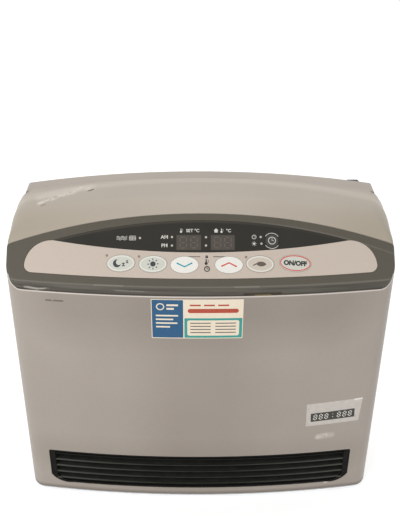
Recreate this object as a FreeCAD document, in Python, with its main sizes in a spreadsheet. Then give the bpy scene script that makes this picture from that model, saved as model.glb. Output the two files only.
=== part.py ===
import FreeCAD, Part
import math
import os

import Sketcher
from FreeCAD import Placement, Rotation, Vector

# Gas fan heater, free standing, in millimetres.
# X runs to the right, Y to the back, Z up; the origin is on the floor under the middle of the body.
# Depths below are counted from the front of the bowed panel and moved to the origin by "front".

SIZES = {
    # Cabinet
    "body_width": 470.0,
    "body_depth": 165.0,
    "body_height": 428.0,
    "rear_proud": 8.0,
    "front_radius": 1450.0,
    "corner_radius": 20.0,
    "arch_radius": 1500.0,
    "panel_low": 9.0,
    "panel_high": 340.0,
    "panel_wall": 0.8,
    "panel_flange": 7.0,
    "cover_depth": 143.0,
    "cover_wall": 2.5,
    "cover_edge": 2.0,
    "cap_seam": 0.6,
    "seam_round": 16.0,
    "seam_edge": 4.0,
    "fit_gap": 0.3,
    # Sloping control panel
    "slope_angle": 46.0,
    "slope_foot": 350.0,
    "slope_blend": 60.0,
    "bezel_back": 65.6,
    "bezel_back_radius": 1750.0,
    "bezel_wall": 3.2,
    "bezel_round": 4.0,
    "shoulder_round": 27.0,
    "shoulder_start": 40.0,
    "shoulder_run": 40.0,
    "fascia_wall": 1.6,
    "fascia_proud": 0.3,
    "fascia_low": 13.0,
    "fascia_low_radius": 2050.0,
    "fascia_foot_half": 203.9,
    "fascia_half": 212.3,
    "fascia_end": 32.5,
    "fascia_corner": 9.3,
    "fascia_shoulder_half": 202.5,
    "fascia_shoulder": 53.2,
    "fascia_top": 45.2,
    "fascia_top_radius": 949.0,
    "window_half": 178.0,
    "window_top": 84.6,
    "ledge": 4.0,
    "button_half_width": 16.7,
    "button_half_height": 10.2,
    "power_half_width": 19.0,
    "time_radius": 8.0,
    "button_proud": 1.0,
    "button_thick": 3.0,
    "button_edge": 0.6,
    "button_travel": 1.0,
    "board_depth": 15.0,
    "board_wall": 1.6,
    "board_half": 122.0,
    "board_low": 4.0,
    "board_high": 86.0,
    "boss_radius": 3.0,
    "switch_side": 6.0,
    "switch_height": 5.0,
    "digit_width": 28.5,
    "digit_height": 18.5,
    "digit_depth": 11.0,
    "digit_left": -14.8,
    "digit_right": 25.9,
    "digit_v": 57.3,
    # Base and feet
    "foot_height": 6.0,
    "foot_radius": 11.0,
    "foot_spread": 190.0,
    "foot_front": 36.0,
    "foot_back": 126.0,
    "tray_wall": 1.5,
    "tray_rim": 10.0,
    "tray_gap": 0.5,
    "tray_rear": 140.4,
    # Rear cover, filter and sensor
    "rear_half": 225.0,
    "rear_top": 426.0,
    "rear_front": 140.8,
    "rear_wall": 1.0,
    "rear_round": 4.0,
    "ear_width": 8.0,
    "ear_height": 16.0,
    "filter_half": 150.0,
    "filter_low": 120.0,
    "filter_high": 362.0,
    "filter_border": 12.0,
    "filter_mesh": 1.0,
    "filter_rib": 3.0,
    "rail_wall": 2.5,
    "sensor_x": 200.5,
    "sensor_width": 17.0,
    "sensor_low": 388.0,
    "sensor_high": 411.0,
    # Warm air outlet
    "outlet_half": 206.0,
    "outlet_low": 21.0,
    "outlet_high": 80.0,
    "outlet_corner_wide": 30.0,
    "outlet_corner_tall": 13.0,
    "outlet_round_top": 3.0,
    "grille_rim": 3.0,
    "grille_end": 8.0,
    "grille_back": 30.0,
    "vane_count": 5,
    "vane_pitch": 11.2,
    "vane_wall": 2.0,
    "vane_depth": 14.0,
    # Fan
    "fan_y": 100.0,
    "fan_z": 62.0,
    "rotor_radius": 34.0,
    "rotor_disc": 2.0,
    "blade_count": 24,
    "blade_wall": 1.2,
    "blade_depth": 8.0,
    "shaft_radius": 4.0,
    "running_gap": 0.05,
    "scroll_radius": 42.0,
    "duct_half": 196.0,
    "duct_wall": 0.8,
    "throat_front": 56.8,
    "casing_top": 140.0,
    "bearing_radius": 9.0,
    "bearing_length": 12.0,
    "motor_radius": 32.0,
    "motor_length": 28.0,
    # Burner and gas line
    "chamber_rear": 130.0,
    "chamber_top": 330.0,
    "chamber_slot_low": 190.0,
    "chamber_slot_high": 300.0,
    "burner_width": 30.0,
    "burner_low": 160.0,
    "burner_high": 190.0,
    "burner_slot": 2.0,
    "burner_wall": 1.2,
    "tube_bore": 5.5,
    "burner_pitch": 14.0,
    "burner_count": 24,
    "venturi_radius": 7.0,
    "shield_gap": 16.0,
    "valve_low": 108.0,
    "valve_high": 150.0,
    "valve_width": 32.0,
    "valve_front": 90.0,
    "valve_depth": 44.0,
    "pipe_radius": 5.0,
    "inlet_x": 204.0,
    "inlet_z": 40.0,
    "inlet_radius": 6.5,
    "cup_depth": 17.5,
    "cup_half": 17.0,
    # Electrics
    "main_board_low": 110.0,
    "main_board_high": 300.0,
    "main_board_front": 70.0,
    "main_board_back": 126.0,
    "post_length": 16.0,
    "transformer_side": 40.0,
    "transformer_depth": 45.0,
    "transformer_width": 30.0,
    "gland_x": 180.0,
    "gland_z": 40.0,
    "gland_radius": 8.0,
    "cord_radius": 4.0,
    "tip_width": 26.0,
    "tip_height": 38.0,
    "tip_depth": 22.0,
    "tip_y": 110.0,
    "pendulum_length": 20.0,
    "pendulum_bob": 4.0,
    "pivot_radius": 1.5,
    "screw_radius": 2.0,
    "screw_head": 3.6,
}


class Size:
    """A size in millimetres with the sheet formula that gives it."""

    def __init__(self, value, formula):
        self.value = float(value)
        self.formula = formula

    def __float__(self):
        return self.value

    def __add__(self, other):
        return Size(self.value + float(other), f"({self.formula} + {formula_of(other)})")

    def __radd__(self, other):
        return Size(float(other) + self.value, f"({formula_of(other)} + {self.formula})")

    def __sub__(self, other):
        return Size(self.value - float(other), f"({self.formula} - {formula_of(other)})")

    def __rsub__(self, other):
        return Size(float(other) - self.value, f"({formula_of(other)} - {self.formula})")

    def __mul__(self, other):
        return Size(self.value * float(other), f"({self.formula} * {formula_of(other)})")

    def __rmul__(self, other):
        return self * other

    def __truediv__(self, other):
        return Size(self.value / float(other), f"({self.formula} / {formula_of(other)})")

    def __neg__(self):
        return Size(-self.value, f"(-1 * {self.formula})")


def formula_of(value):
    return value.formula if isinstance(value, Size) else repr(float(value))


doc = FreeCAD.newDocument("gas_fan_heater")
sheet = doc.addObject("Spreadsheet::Sheet", "sizes")
for row, (alias, number) in enumerate(SIZES.items(), start=1):
    sheet.set(f"A{row}", alias)
    sheet.set(f"B{row}", str(number))
    sheet.setAlias(f"B{row}", alias)
doc.recompute()


class Sheet:
    """Every cell of the sheet as a Size, by its alias."""

    def __getattr__(self, alias):
        return Size(sheet.get(alias), f"sizes.{alias}")


s = Sheet()
front = -(s.body_depth + s.rear_proud) / 2
half = s.body_width / 2
cap_bottom = s.panel_high + s.cap_seam
tray_top = s.foot_height + s.tray_wall
side_seam = s.panel_high + s.seam_round
nodes = []


# Document helpers

def keep(obj, label):
    """Mark a document object as one finished piece of the heater."""
    obj.Label = label
    nodes.append(obj)
    return obj


def bind(obj, prop, value):
    """Tie a property to the sheet."""
    obj.setExpression(prop, formula_of(value))


def box(name, x, y, z):
    """A box between two bounds on each axis, with depth counted from the front."""
    obj = doc.addObject("Part::Box", name)
    for prop, (low, high) in (("Length", x), ("Width", y), ("Height", z)):
        bind(obj, prop, high - low)
    bind(obj, "Placement.Base.x", x[0])
    bind(obj, "Placement.Base.y", front + y[0])
    bind(obj, "Placement.Base.z", z[0])
    return obj


TURN = {
    "X": Rotation(Vector(0, 1, 0), 90),
    "Y": Rotation(Vector(1, 0, 0), -90),
    "Z": Rotation(),
}


def cylinder(name, axis, start, radius, length):
    """A cylinder that runs from its start point along one axis."""
    obj = doc.addObject("Part::Cylinder", name)
    bind(obj, "Radius", radius)
    bind(obj, "Height", length)
    obj.Placement = Placement(Vector(), TURN[axis])
    bind(obj, "Placement.Base.x", start[0])
    bind(obj, "Placement.Base.y", front + start[1])
    bind(obj, "Placement.Base.z", start[2])
    return obj


def join(name, *shapes):
    obj = doc.addObject("Part::MultiFuse", name)
    obj.Shapes = list(shapes)
    obj.Refine = True
    return obj


def group(name, *shapes):
    """Separate solids that share one node."""
    obj = doc.addObject("Part::Compound", name)
    obj.Links = list(shapes)
    return obj


def cut(name, base, *tools):
    obj = doc.addObject("Part::Cut", name)
    obj.Base = base
    obj.Tool = tools[0] if len(tools) == 1 else join(f"{name}_tools", *tools)
    return obj


def shaped(label, shape):
    """A piece whose curved skin comes from the sheet's sizes through Part's own functions."""
    obj = doc.addObject("Part::Feature", label)
    own = shape.Placement
    obj.Shape = shape
    obj.Placement = Placement(Vector(0, front, 0), Rotation()) * own
    return keep(obj, label)


def new_body(label, x, y, z, turn=None):
    """A body whose own origin stands at a point of the heater."""
    body = doc.addObject("PartDesign::Body", label)
    body.Placement = Placement(Vector(), turn or Rotation())
    bind(body, "Placement.Base.x", x)
    bind(body, "Placement.Base.y", front + y)
    bind(body, "Placement.Base.z", z)
    return keep(body, label)


def new_sketch(body, name, role, lift=0.0):
    sketch = body.newObject("Sketcher::SketchObject", name)
    plane = next(f for f in body.Origin.OriginFeatures if f.Role == role)
    sketch.AttachmentSupport = [(plane, "")]
    sketch.MapMode = "FlatFace"
    bind(sketch, "AttachmentOffset.Base.z", lift)
    return sketch


def polygon(sketch, corners):
    """A closed outline of straight lines whose corners are tied to the sheet."""
    points = [Vector(a, b, 0) for a, b in corners]
    count = len(points)
    first = sketch.GeometryCount
    for i in range(count):
        sketch.addGeometry(Part.LineSegment(points[i], points[(i + 1) % count]), False)
    for i in range(count):
        following = first + (i + 1) % count
        sketch.addConstraint(Sketcher.Constraint("Coincident", first + i, 2, following, 1))
    for i, corner in enumerate(corners):
        for kind, value in zip(("DistanceX", "DistanceY"), corner):
            if float(value) == 0.0:
                axis = -2 if kind == "DistanceX" else -1
                sketch.addConstraint(Sketcher.Constraint("PointOnObject", first + i, 1, axis))
                continue
            datum = Sketcher.Constraint(kind, -1, 1, first + i, 1, float(value))
            index = sketch.addConstraint(datum)
            bind(sketch, f"Constraints[{index}]", value)


def circle(sketch, across, up, radius):
    """A circle whose centre and radius are tied to the sheet."""
    index = sketch.addGeometry(Part.Circle(Vector(across, up, 0), Vector(0, 0, 1), float(radius)), False)
    for kind, value in (("DistanceX", across), ("DistanceY", up)):
        if float(value) == 0.0:
            axis = -2 if kind == "DistanceX" else -1
            sketch.addConstraint(Sketcher.Constraint("PointOnObject", index, 3, axis))
            continue
        datum = sketch.addConstraint(Sketcher.Constraint(kind, -1, 1, index, 3, float(value)))
        bind(sketch, f"Constraints[{datum}]", value)
    datum = sketch.addConstraint(Sketcher.Constraint("Radius", index, float(radius)))
    bind(sketch, f"Constraints[{datum}]", radius)


def pad(body, name, sketch, length):
    feature = body.newObject("PartDesign::Pad", name)
    feature.Profile = sketch
    bind(feature, "Length", length)
    return feature


def pocket(body, name, sketch, length, reverse=False):
    feature = body.newObject("PartDesign::Pocket", name)
    feature.Profile = sketch
    feature.Reversed = reverse
    bind(feature, "Length", length)
    return feature


def turned(label, x, y, z, profile, turn):
    """A piece turned about its own X axis from a profile of (along, radius) corners."""
    body = new_body(label, x, y, z, turn)
    sketch = new_sketch(body, f"{label}_profile", "XY_Plane")
    polygon(sketch, profile)
    revolution = body.newObject("PartDesign::Revolution", f"{label}_turn")
    revolution.Profile = sketch
    revolution.ReferenceAxis = (sketch, ["H_Axis"])
    revolution.Angle = 360
    return body


BACKWARD = Rotation(Vector(0, 0, 1), 90)
UPWARD = Rotation(Vector(0, 1, 0), -90)
RIGHTWARD = Rotation()
LEFTWARD = Rotation(Vector(0, 0, 1), 180)


# Outlines of the curved skin

slope = math.radians(float(s.slope_angle))
blend = float(s.slope_blend)
arch_axis_z = float(s.body_height - s.arch_radius)
blend_y = float(s.body_height - s.slope_foot) / math.tan(slope) + blend * math.tan(slope / 2)
blend_z = float(s.body_height) - blend
far = float(s.body_width)


def sagitta(radius, reach):
    return float(radius) - math.sqrt(float(radius) ** 2 - float(reach) ** 2)


def arc(a, b, c):
    return Part.Arc(a, b, c).toShape()


def line(a, b):
    return Part.LineSegment(a, b).toShape()


def plan_outline(inset, rear):
    """The cabinet seen from above: bowed front, round front corners and straight sides."""
    radius = float(s.front_radius) - inset
    corner = float(s.corner_radius) - inset
    side = float(half) - inset
    centre_y = float(s.front_radius)
    corner_y = centre_y - math.sqrt((radius - corner) ** 2 - (side - corner) ** 2)
    scale = radius / (radius - corner)
    touch = Vector((side - corner) * scale, centre_y + (corner_y - centre_y) * scale, 0)
    lean = math.atan2(side - touch.x, corner_y - touch.y)
    middle = Vector(side - corner + corner * math.sin(lean), corner_y - corner * math.cos(lean), 0)

    def flip(point):
        return Vector(-point.x, point.y, 0)

    right = Vector(side, corner_y, 0)
    back = Vector(side, float(rear), 0)
    return Part.Wire([
        arc(flip(touch), Vector(0, inset, 0), touch),
        arc(touch, middle, right),
        line(right, back),
        line(back, flip(back)),
        line(flip(back), flip(right)),
        arc(flip(right), flip(middle), flip(touch)),
    ])


def prism(wire, low, high):
    """An outline in the XY plane raised between two heights."""
    face = Part.Face(wire)
    face.translate(Vector(0, 0, float(low)))
    return face.extrude(Vector(0, 0, float(high) - float(low)))


def arched_outline(y, side, low, high, corner, radius):
    """The body seen from the front at one depth: straight sides, round shoulders, arched top."""
    centre_z = high - radius
    corner_z = centre_z + math.sqrt((radius - corner) ** 2 - (side - corner) ** 2)
    scale = radius / (radius - corner)
    touch = Vector((side - corner) * scale, y, centre_z + (corner_z - centre_z) * scale)
    lean = math.atan2(touch.z - corner_z, touch.x - side + corner) / 2
    middle = Vector(side - corner + corner * math.cos(lean), y, corner_z + corner * math.sin(lean))

    def flip(point):
        return Vector(-point.x, point.y, point.z)

    top = Vector(side, y, corner_z)
    foot = Vector(side, y, low)
    return Part.Wire([
        line(flip(foot), foot),
        line(foot, top),
        arc(top, middle, touch),
        arc(touch, Vector(0, y, high), flip(touch)),
        arc(flip(touch), flip(middle), flip(top)),
        line(flip(top), flip(foot)),
    ])


def profile_height(y, proud):
    """Height of the middle of the skin at one depth, moved out by proud."""
    reach = blend + proud
    if y >= blend_y:
        return float(s.body_height) + proud
    if y >= blend_y - reach * math.sin(slope):
        return blend_z + math.sqrt(reach ** 2 - (blend_y - y) ** 2)
    return float(s.slope_foot) + y * math.tan(slope) + proud / math.cos(slope)


def profile_points(proud):
    """Slope start, end of slope, middle and end of the blend, moved out by proud."""
    reach = blend + proud
    start = -float(s.corner_radius)

    def around(angle):
        return Vector(0, blend_y - reach * math.sin(angle), blend_z + reach * math.cos(angle))

    foot = Vector(0, start - proud * math.sin(slope),
                  float(s.slope_foot) + start * math.tan(slope) + proud * math.cos(slope))
    return foot, around(slope), around(slope / 2), around(0)


def arch_sweep(wire):
    """Turn an outline in the middle plane about the arch's long axis, to both sides."""
    axis_point = Vector(0, 0, arch_axis_z)
    low = float(s.panel_high) - arch_axis_z - float(s.panel_flange) * 8
    reach = math.degrees(math.asin((float(half) + float(s.corner_radius)) / low))
    face = Part.Face(wire)
    face.rotate(axis_point, Vector(0, 1, 0), -reach)
    return face.revolve(axis_point, Vector(0, 1, 0), 2 * reach)


def skin_block(proud):
    """Everything under the sloping skin."""
    foot, bend, middle, top = profile_points(proud)
    floor_z = float(s.panel_high) - float(s.panel_flange) * 4
    low_back = Vector(0, top.y, floor_z)
    low_front = Vector(0, foot.y, floor_z)
    return arch_sweep(Part.Wire([
        line(foot, bend), arc(bend, middle, top), line(top, low_back),
        line(low_back, low_front), line(low_front, foot),
    ]))


def skin_layer(low, high):
    """The layer of the sloping skin between two offsets."""
    foot_a, bend_a, middle_a, top_a = profile_points(float(low))
    foot_b, bend_b, middle_b, top_b = profile_points(float(high))
    return arch_sweep(Part.Wire([
        line(foot_a, bend_a), arc(bend_a, middle_a, top_a), line(top_a, top_b),
        arc(top_b, middle_b, bend_b), line(bend_b, foot_b), line(foot_b, foot_a),
    ]))


def below_seam(lift):
    """The space under the seam of cabinet and cap: level at the front, rising round both corners."""
    level = float(s.panel_high)
    radius = float(s.seam_round)
    bend_x = float(half - s.seam_edge - s.seam_round)
    end_x = bend_x + radius - lift
    turn = math.sqrt(0.5) * (radius - lift)
    back = -float(s.corner_radius)

    def spot(x, z):
        return Vector(x, back, z)

    def side(sign):
        corners = [spot(sign * end_x, level + radius), spot(sign * end_x, level + radius + lift),
                   spot(sign * far, level + radius + lift), spot(sign * far, -far)]
        if lift == 0:
            corners.pop(0)
        rise = arc(spot(sign * bend_x, level + lift), spot(sign * (bend_x + turn), level + radius - turn),
                   spot(sign * end_x, level + radius))
        return [rise] + [line(a, b) for a, b in zip(corners, corners[1:])]

    floor_line = line(spot(-far, -far), spot(far, -far))
    level_line = line(spot(-bend_x, level + lift), spot(bend_x, level + lift))
    edges = side(1) + side(-1) + [floor_line, level_line]
    wire = Part.Wire(Part.__sortEdges__(edges))
    return Part.Face(wire).extrude(Vector(0, far, 0))


def seam_region(before, gap):
    """The space in front of, or behind, the arched line between bezel and top cover."""
    middle_y = float(s.bezel_back) + gap
    end_y = middle_y - sagitta(s.bezel_back_radius, far / 2 + 10)
    left = Vector(-far / 2 - 10, end_y, 0)
    right = Vector(far / 2 + 10, end_y, 0)
    limit = -far if before else far
    corner_right = Vector(right.x, limit, 0)
    corner_left = Vector(left.x, limit, 0)
    wire = Part.Wire([
        arc(left, Vector(0, middle_y, 0), right), line(right, corner_right),
        line(corner_right, corner_left), line(corner_left, left),
    ])
    return prism(wire, cap_bottom, s.body_height + 10)


slope_place = Placement(Vector(0, 0, float(s.slope_foot)), Rotation(Vector(1, 0, 0), float(s.slope_angle)))


def slope_prism(wire, low, high):
    """An outline drawn on the sloping panel, raised along its normal."""
    solid = prism(wire, low, high)
    solid.Placement = slope_place * solid.Placement
    return solid


def slope_box(u, v, w):
    """A box on the sloping panel: across, up the slope and out of it."""
    solid = Part.makeBox(u[1] - u[0], v[1] - v[0], w[1] - w[0], Vector(u[0], v[0], w[0]))
    solid.Placement = slope_place * solid.Placement
    return solid


def tangent_place(u, v):
    """Where a flat piece lies on the arched skin at a point of the sloping panel."""
    radius = float(s.slope_foot) + v * math.sin(slope) - arch_axis_z
    turn = math.asin(u / radius)
    up_slope = v + radius * (1 - math.cos(turn)) * math.sin(slope)
    axis = Vector(0, 0, arch_axis_z)
    swing = Placement(Vector(), Rotation(Vector(0, 1, 0), math.degrees(turn)), axis)
    return swing * slope_place * Placement(Vector(0, up_slope, 0), Rotation())


def slope_drop(u):
    """How far the arched skin lies under the flat slope plane at a distance from the middle."""
    return sagitta(s.arch_radius, u) * math.cos(slope)


def panel_corners():
    """Key points of the fascia and window outlines, on the right-hand side."""
    foot_v = float(s.fascia_low) + sagitta(s.fascia_low_radius, s.fascia_foot_half)
    tip_v = float(s.fascia_top) + sagitta(s.fascia_top_radius, s.window_half)
    foot = Vector(float(s.fascia_foot_half), foot_v, 0)
    end = Vector(float(s.fascia_half), float(s.fascia_end), 0)
    tip = Vector(float(s.window_half), tip_v, 0)
    bulge = float(s.fascia_corner) * (1 - math.sqrt(0.5))
    heel = Vector(end.x - bulge, end.y - float(s.fascia_corner) + bulge, 0)
    shoulder = Vector(float(s.fascia_shoulder_half), float(s.fascia_shoulder), 0)
    return foot, heel, end, shoulder, tip


def mirror_u(point):
    return Vector(-point.x, point.y, 0)


def fascia_outline(top):
    """Fascia outline closed by the given height of its upper arc at the middle."""
    foot, heel, end, shoulder, tip = panel_corners()
    return Part.Wire([
        arc(mirror_u(foot), Vector(0, float(s.fascia_low), 0), foot),
        arc(foot, heel, end),
        arc(end, shoulder, tip),
        arc(tip, Vector(0, float(top), 0), mirror_u(tip)),
        arc(mirror_u(tip), mirror_u(shoulder), mirror_u(end)),
        arc(mirror_u(end), mirror_u(heel), mirror_u(foot)),
    ])


def window_outline():
    tip = panel_corners()[-1]
    return Part.Wire([
        arc(tip, Vector(0, float(s.window_top), 0), mirror_u(tip)),
        arc(mirror_u(tip), Vector(0, float(s.fascia_top), 0), tip),
    ])


def oval(u, v, half_width, half_height):
    centre = Vector(u, v, 0)
    if half_width == half_height:
        return Part.Wire([Part.Circle(centre, Vector(0, 0, 1), half_width).toShape()])
    ellipse = Part.Ellipse(centre, half_width, half_height)
    return Part.Wire([ellipse.toShape()])


# Push-buttons: place on the slope and half sizes

BUTTON_ROW = {
    "sleep_button": (-95.3, 32.4),
    "morning_button": (-57.2, 31.1),
    "down_button": (-19.7, 30.0),
    "up_button": (33.1, 30.0),
    "save_button": (70.1, 31.2),
    "power_button": (112.1, 32.6),
    "time_set_button": (84.8, 60.0),
}


def button_half_sizes(name):
    if name == "time_set_button":
        return float(s.time_radius), float(s.time_radius)
    if name == "power_button":
        return float(s.power_half_width), float(s.button_half_height)
    return float(s.button_half_width), float(s.button_half_height)


def button_holes(names, low, high):
    """Holes for the caps, wider by the fit gap."""
    gap = float(s.fit_gap)
    holes = []
    for name in names:
        u, v = BUTTON_ROW[name]
        half_width, half_height = button_half_sizes(name)
        hole = prism(oval(0, 0, half_width + gap, half_height + gap), low, high)
        hole.Placement = tangent_place(u, v) * hole.Placement
        holes.append(hole)
    return Part.makeCompound(holes)


# Cabinet pieces

def outlet_outline(inset, end_inset, y):
    """Outline of the outlet seen from the front: small round corners above, long swept corners below."""
    side = float(s.outlet_half) - end_inset
    low = float(s.outlet_low) + inset
    high = float(s.outlet_high) - inset
    wide = float(s.outlet_corner_wide) - end_inset
    tall = float(s.outlet_corner_tall) - inset
    small = max(float(s.outlet_round_top) - inset, 1.0)
    bulge = 1 - math.sqrt(0.5)

    def spot(x, z):
        return Vector(x, y, z)

    def swept(sign):
        return arc(spot(sign * (side - wide), low), spot(sign * (side - bulge * wide), low + bulge * tall),
                   spot(sign * side, low + tall))

    def rounded(sign):
        return arc(spot(sign * side, high - small), spot(sign * (side - bulge * small), high - bulge * small),
                   spot(sign * (side - small), high))

    def upright(sign):
        return line(spot(sign * side, low + tall), spot(sign * side, high - small))

    level = [line(spot(wide - side, low), spot(side - wide, low)),
             line(spot(small - side, high), spot(side - small, high))]
    edges = level + [make(sign) for make in (swept, rounded, upright) for sign in (-1, 1)]
    return Part.Wire(Part.__sortEdges__(edges))


def outlet_prism(inset, end_inset, rear):
    face = Part.Face(outlet_outline(inset, end_inset, -float(s.corner_radius)))
    return face.extrude(Vector(0, float(rear) + float(s.corner_radius), 0))


def screw_spots():
    """Middle of each rear screw: side, height."""
    ear_x = float(s.rear_half) + float(s.ear_width) / 2 + float(s.fit_gap)
    low = float(s.panel_low) + float(s.ear_height)
    high = float(s.panel_high) - float(s.ear_height)
    cover = float(side_seam + s.cap_seam) + float(s.ear_height) * 0.75
    return [(sign * ear_x, z) for sign in (-1, 1) for z in (low, (low + high) / 2, high, cover)]


def screw_holes():
    start = float(s.cover_depth) - 4 * float(s.screw_head)
    length = 8 * float(s.screw_head)
    holes = [Part.makeCylinder(float(s.screw_radius), length, Vector(x, start, z), Vector(0, 1, 0))
             for x, z in screw_spots()]
    return Part.makeCompound(holes)


def rear_outline(y, grow):
    """Rear cover seen from the front."""
    return arched_outline(y, float(s.rear_half) + grow, float(s.panel_low) - grow, float(s.rear_top) + grow,
                          float(s.rear_round) + grow, float(s.arch_radius) + grow)


def rear_prism(grow, low_y, high_y):
    return Part.Face(rear_outline(float(low_y), grow)).extrude(Vector(0, float(high_y) - float(low_y), 0))


def make_front_panel():
    wall = float(s.panel_wall)
    flange = float(s.panel_flange)
    rear = float(s.cover_depth)
    shell = prism(plan_outline(0, rear), s.panel_low, side_seam).common(below_seam(0))
    shell = shell.cut(prism(plan_outline(wall, rear - wall), 0, side_seam).common(below_seam(-wall)))
    shell = shell.cut(prism(plan_outline(flange, rear - flange), 0, s.body_height))
    shell = shell.cut(rear_prism(float(s.fit_gap), rear - flange, rear + flange))
    floor_gap = Part.makeBox(2 * float(s.rear_half), 2 * flange, float(s.panel_low) * 2,
                             Vector(-float(s.rear_half), rear - flange, 0))
    shell = shell.cut(floor_gap)
    shell = shell.cut(outlet_prism(0, 0, s.grille_back))
    return shaped("front_panel", shell.cut(screw_holes()))


def cover_section(y, proud):
    rise = (y - float(s.shoulder_start)) / float(s.shoulder_run)
    rise = min(max(rise, 0.0), 1.0)
    eased = rise * rise * (3 - 2 * rise)
    corner = float(s.bezel_round) + (float(s.shoulder_round) - float(s.bezel_round)) * eased
    high = profile_height(y, proud)
    return arched_outline(y, float(half) + proud, float(s.panel_high) - float(s.panel_flange), high,
                          corner + proud, high - arch_axis_z)


def cover_loft(proud, rear):
    start = float(s.bezel_back) - sagitta(s.bezel_back_radius, float(half)) - 6
    steps = 6
    depths = [start + (blend_y - start) * i / steps for i in range(steps + 1)]
    depths += [blend_y + (rear - blend_y) * i / 3 for i in (1, 2, 3)]
    return Part.makeLoft([cover_section(y, proud) for y in depths], True, False)


def make_top_cover():
    wall = float(s.cover_wall)
    rear = float(s.cover_depth)
    outer = cover_loft(0.0, rear)
    rear_edges = [e for e in outer.Edges
                  if e.BoundBox.YMin > rear - 0.01 and e.BoundBox.ZMax > side_seam.value]
    outer = outer.makeFillet(float(s.cover_edge), rear_edges)
    shell = outer.cut(cover_loft(-wall, rear - wall))
    shell = shell.common(seam_region(False, float(s.cap_seam))).cut(below_seam(float(s.cap_seam)))
    shell = shell.cut(rear_prism(float(s.fit_gap), rear - wall, rear + wall))
    return shaped("top_cover", shell.cut(screw_holes()))


def board_bosses():
    """Posts under the bezel that carry the control board."""
    spots = []
    reach = float(s.board_half) - 4 * float(s.boss_radius)
    drop = slope_drop(reach)
    top = -drop - float(s.bezel_wall) / 2
    length = top + float(s.board_depth)
    for u in (-reach, reach):
        for v in (float(s.board_low) + 1.7 * float(s.boss_radius),
                  float(s.board_high) - 1.5 * float(s.boss_radius)):
            post = Part.makeCylinder(float(s.boss_radius), length, Vector(u, v, -float(s.board_depth)))
            post.Placement = slope_place * post.Placement
            spots.append(post)
    return spots


def make_control_bezel():
    wall = float(s.bezel_wall)
    plan_high = s.body_height + 10
    outer = skin_block(0.0).common(prism(plan_outline(0, s.cover_depth), cap_bottom, plan_high))
    ridge = [e for e in outer.Edges if is_ridge(e)]
    outer = outer.makeFillet(float(s.bezel_round), ridge)
    inner = skin_block(-wall).common(prism(plan_outline(wall, s.cover_depth), 0, plan_high))
    shell = outer.cut(inner).common(seam_region(True, 0.0)).cut(below_seam(float(s.cap_seam)))
    gap = float(s.fit_gap)
    whole = fascia_outline(s.window_top)
    seat = slope_prism(whole.makeOffset2D(gap), -40, 20).common(skin_layer(-float(s.fascia_wall) - 0.1, 20))
    shell = shell.cut(seat)
    shell = shell.cut(slope_prism(whole.makeOffset2D(-float(s.ledge)), -40, 20))
    return shaped("control_bezel", shell.fuse(board_bosses()))


def is_ridge(edge):
    """True for the edges where the sloping skin meets the front, the corners and the sides."""
    box_of = edge.BoundBox
    flat_low = abs(box_of.ZMax - float(cap_bottom)) < 0.01
    upright = box_of.XLength < 0.01 and box_of.YLength < 0.01
    at_back = box_of.YMin > blend_y - 0.01
    return not (flat_low or upright or at_back)


def make_control_fascia():
    names = [n for n in BUTTON_ROW if n != "time_set_button"]
    outline = fascia_outline(s.fascia_top).makeOffset2D(-float(s.fit_gap) / 2)
    plate = slope_prism(outline, -40, 20).common(skin_layer(-s.fascia_wall, s.fascia_proud))
    return shaped("control_fascia", plate.cut(button_holes(names, -40, 20)))


def make_display_window():
    outline = window_outline().makeOffset2D(-float(s.fit_gap) / 2)
    pane = slope_prism(outline, -40, 20).common(skin_layer(-s.fascia_wall, 0))
    return shaped("display_window", pane.cut(button_holes(["time_set_button"], -40, 20)))


def make_button(name):
    """A cap that follows the skin, on a stem that reaches down to its switch."""
    u, v = BUTTON_ROW[name]
    half_width, half_height = button_half_sizes(name)
    cap = prism(oval(0, 0, half_width, half_height), -s.button_thick, s.button_proud)
    crown = max(cap.Faces, key=lambda face: face.CenterOfMass.z)
    cap = cap.makeFillet(float(s.button_edge), crown.OuterWire.Edges)
    cap.Placement = tangent_place(u, v) * cap.Placement
    stem_low = float(s.switch_height - s.board_depth + s.button_travel) + 0.2
    stem_high = -slope_drop(u) - float(s.button_thick) / 2
    stem = Part.makeCylinder(float(s.boss_radius), stem_high - stem_low, Vector(u, v, stem_low))
    stem.Placement = slope_place * stem.Placement
    return shaped(name, cap.fuse(stem))


def make_control_board():
    reach = float(s.board_half)
    low = -float(s.board_depth) - float(s.board_wall)
    plate = slope_box((-reach, reach), (float(s.board_low), float(s.board_high)),
                      (low, -float(s.board_depth)))
    return shaped("control_board", plate)


def make_tact_switches():
    side = float(s.switch_side) / 2
    low = -float(s.board_depth)
    high = low + float(s.switch_height)
    bodies = [slope_box((u - side, u + side), (v - side, v + side), (low, high))
              for u, v in BUTTON_ROW.values()]
    return shaped("tact_switches", Part.makeCompound(bodies))


def make_digit_displays():
    wide = float(s.digit_width) / 2
    tall = float(s.digit_height) / 2
    low = -float(s.board_depth)
    v = float(s.digit_v)
    modules = [slope_box((u - wide, u + wide), (v - tall, v + tall), (low, low + float(s.digit_depth)))
               for u in (float(s.digit_left), float(s.digit_right))]
    return shaped("digit_displays", Part.makeCompound(modules))


def bow_strip(inset, deep):
    """A strip across the outlet that follows the bowed front."""
    side = float(s.outlet_half)
    rows = []
    for shift in (inset, inset + deep):
        end_y = shift + sagitta(float(s.front_radius) - shift, side)
        rows.append((Vector(-side, end_y, 0), Vector(0, shift, 0), Vector(side, end_y, 0)))
    near, back = rows
    return Part.Wire([arc(*near), line(near[2], back[2]), arc(*reversed(back)), line(back[0], near[0])])


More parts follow.
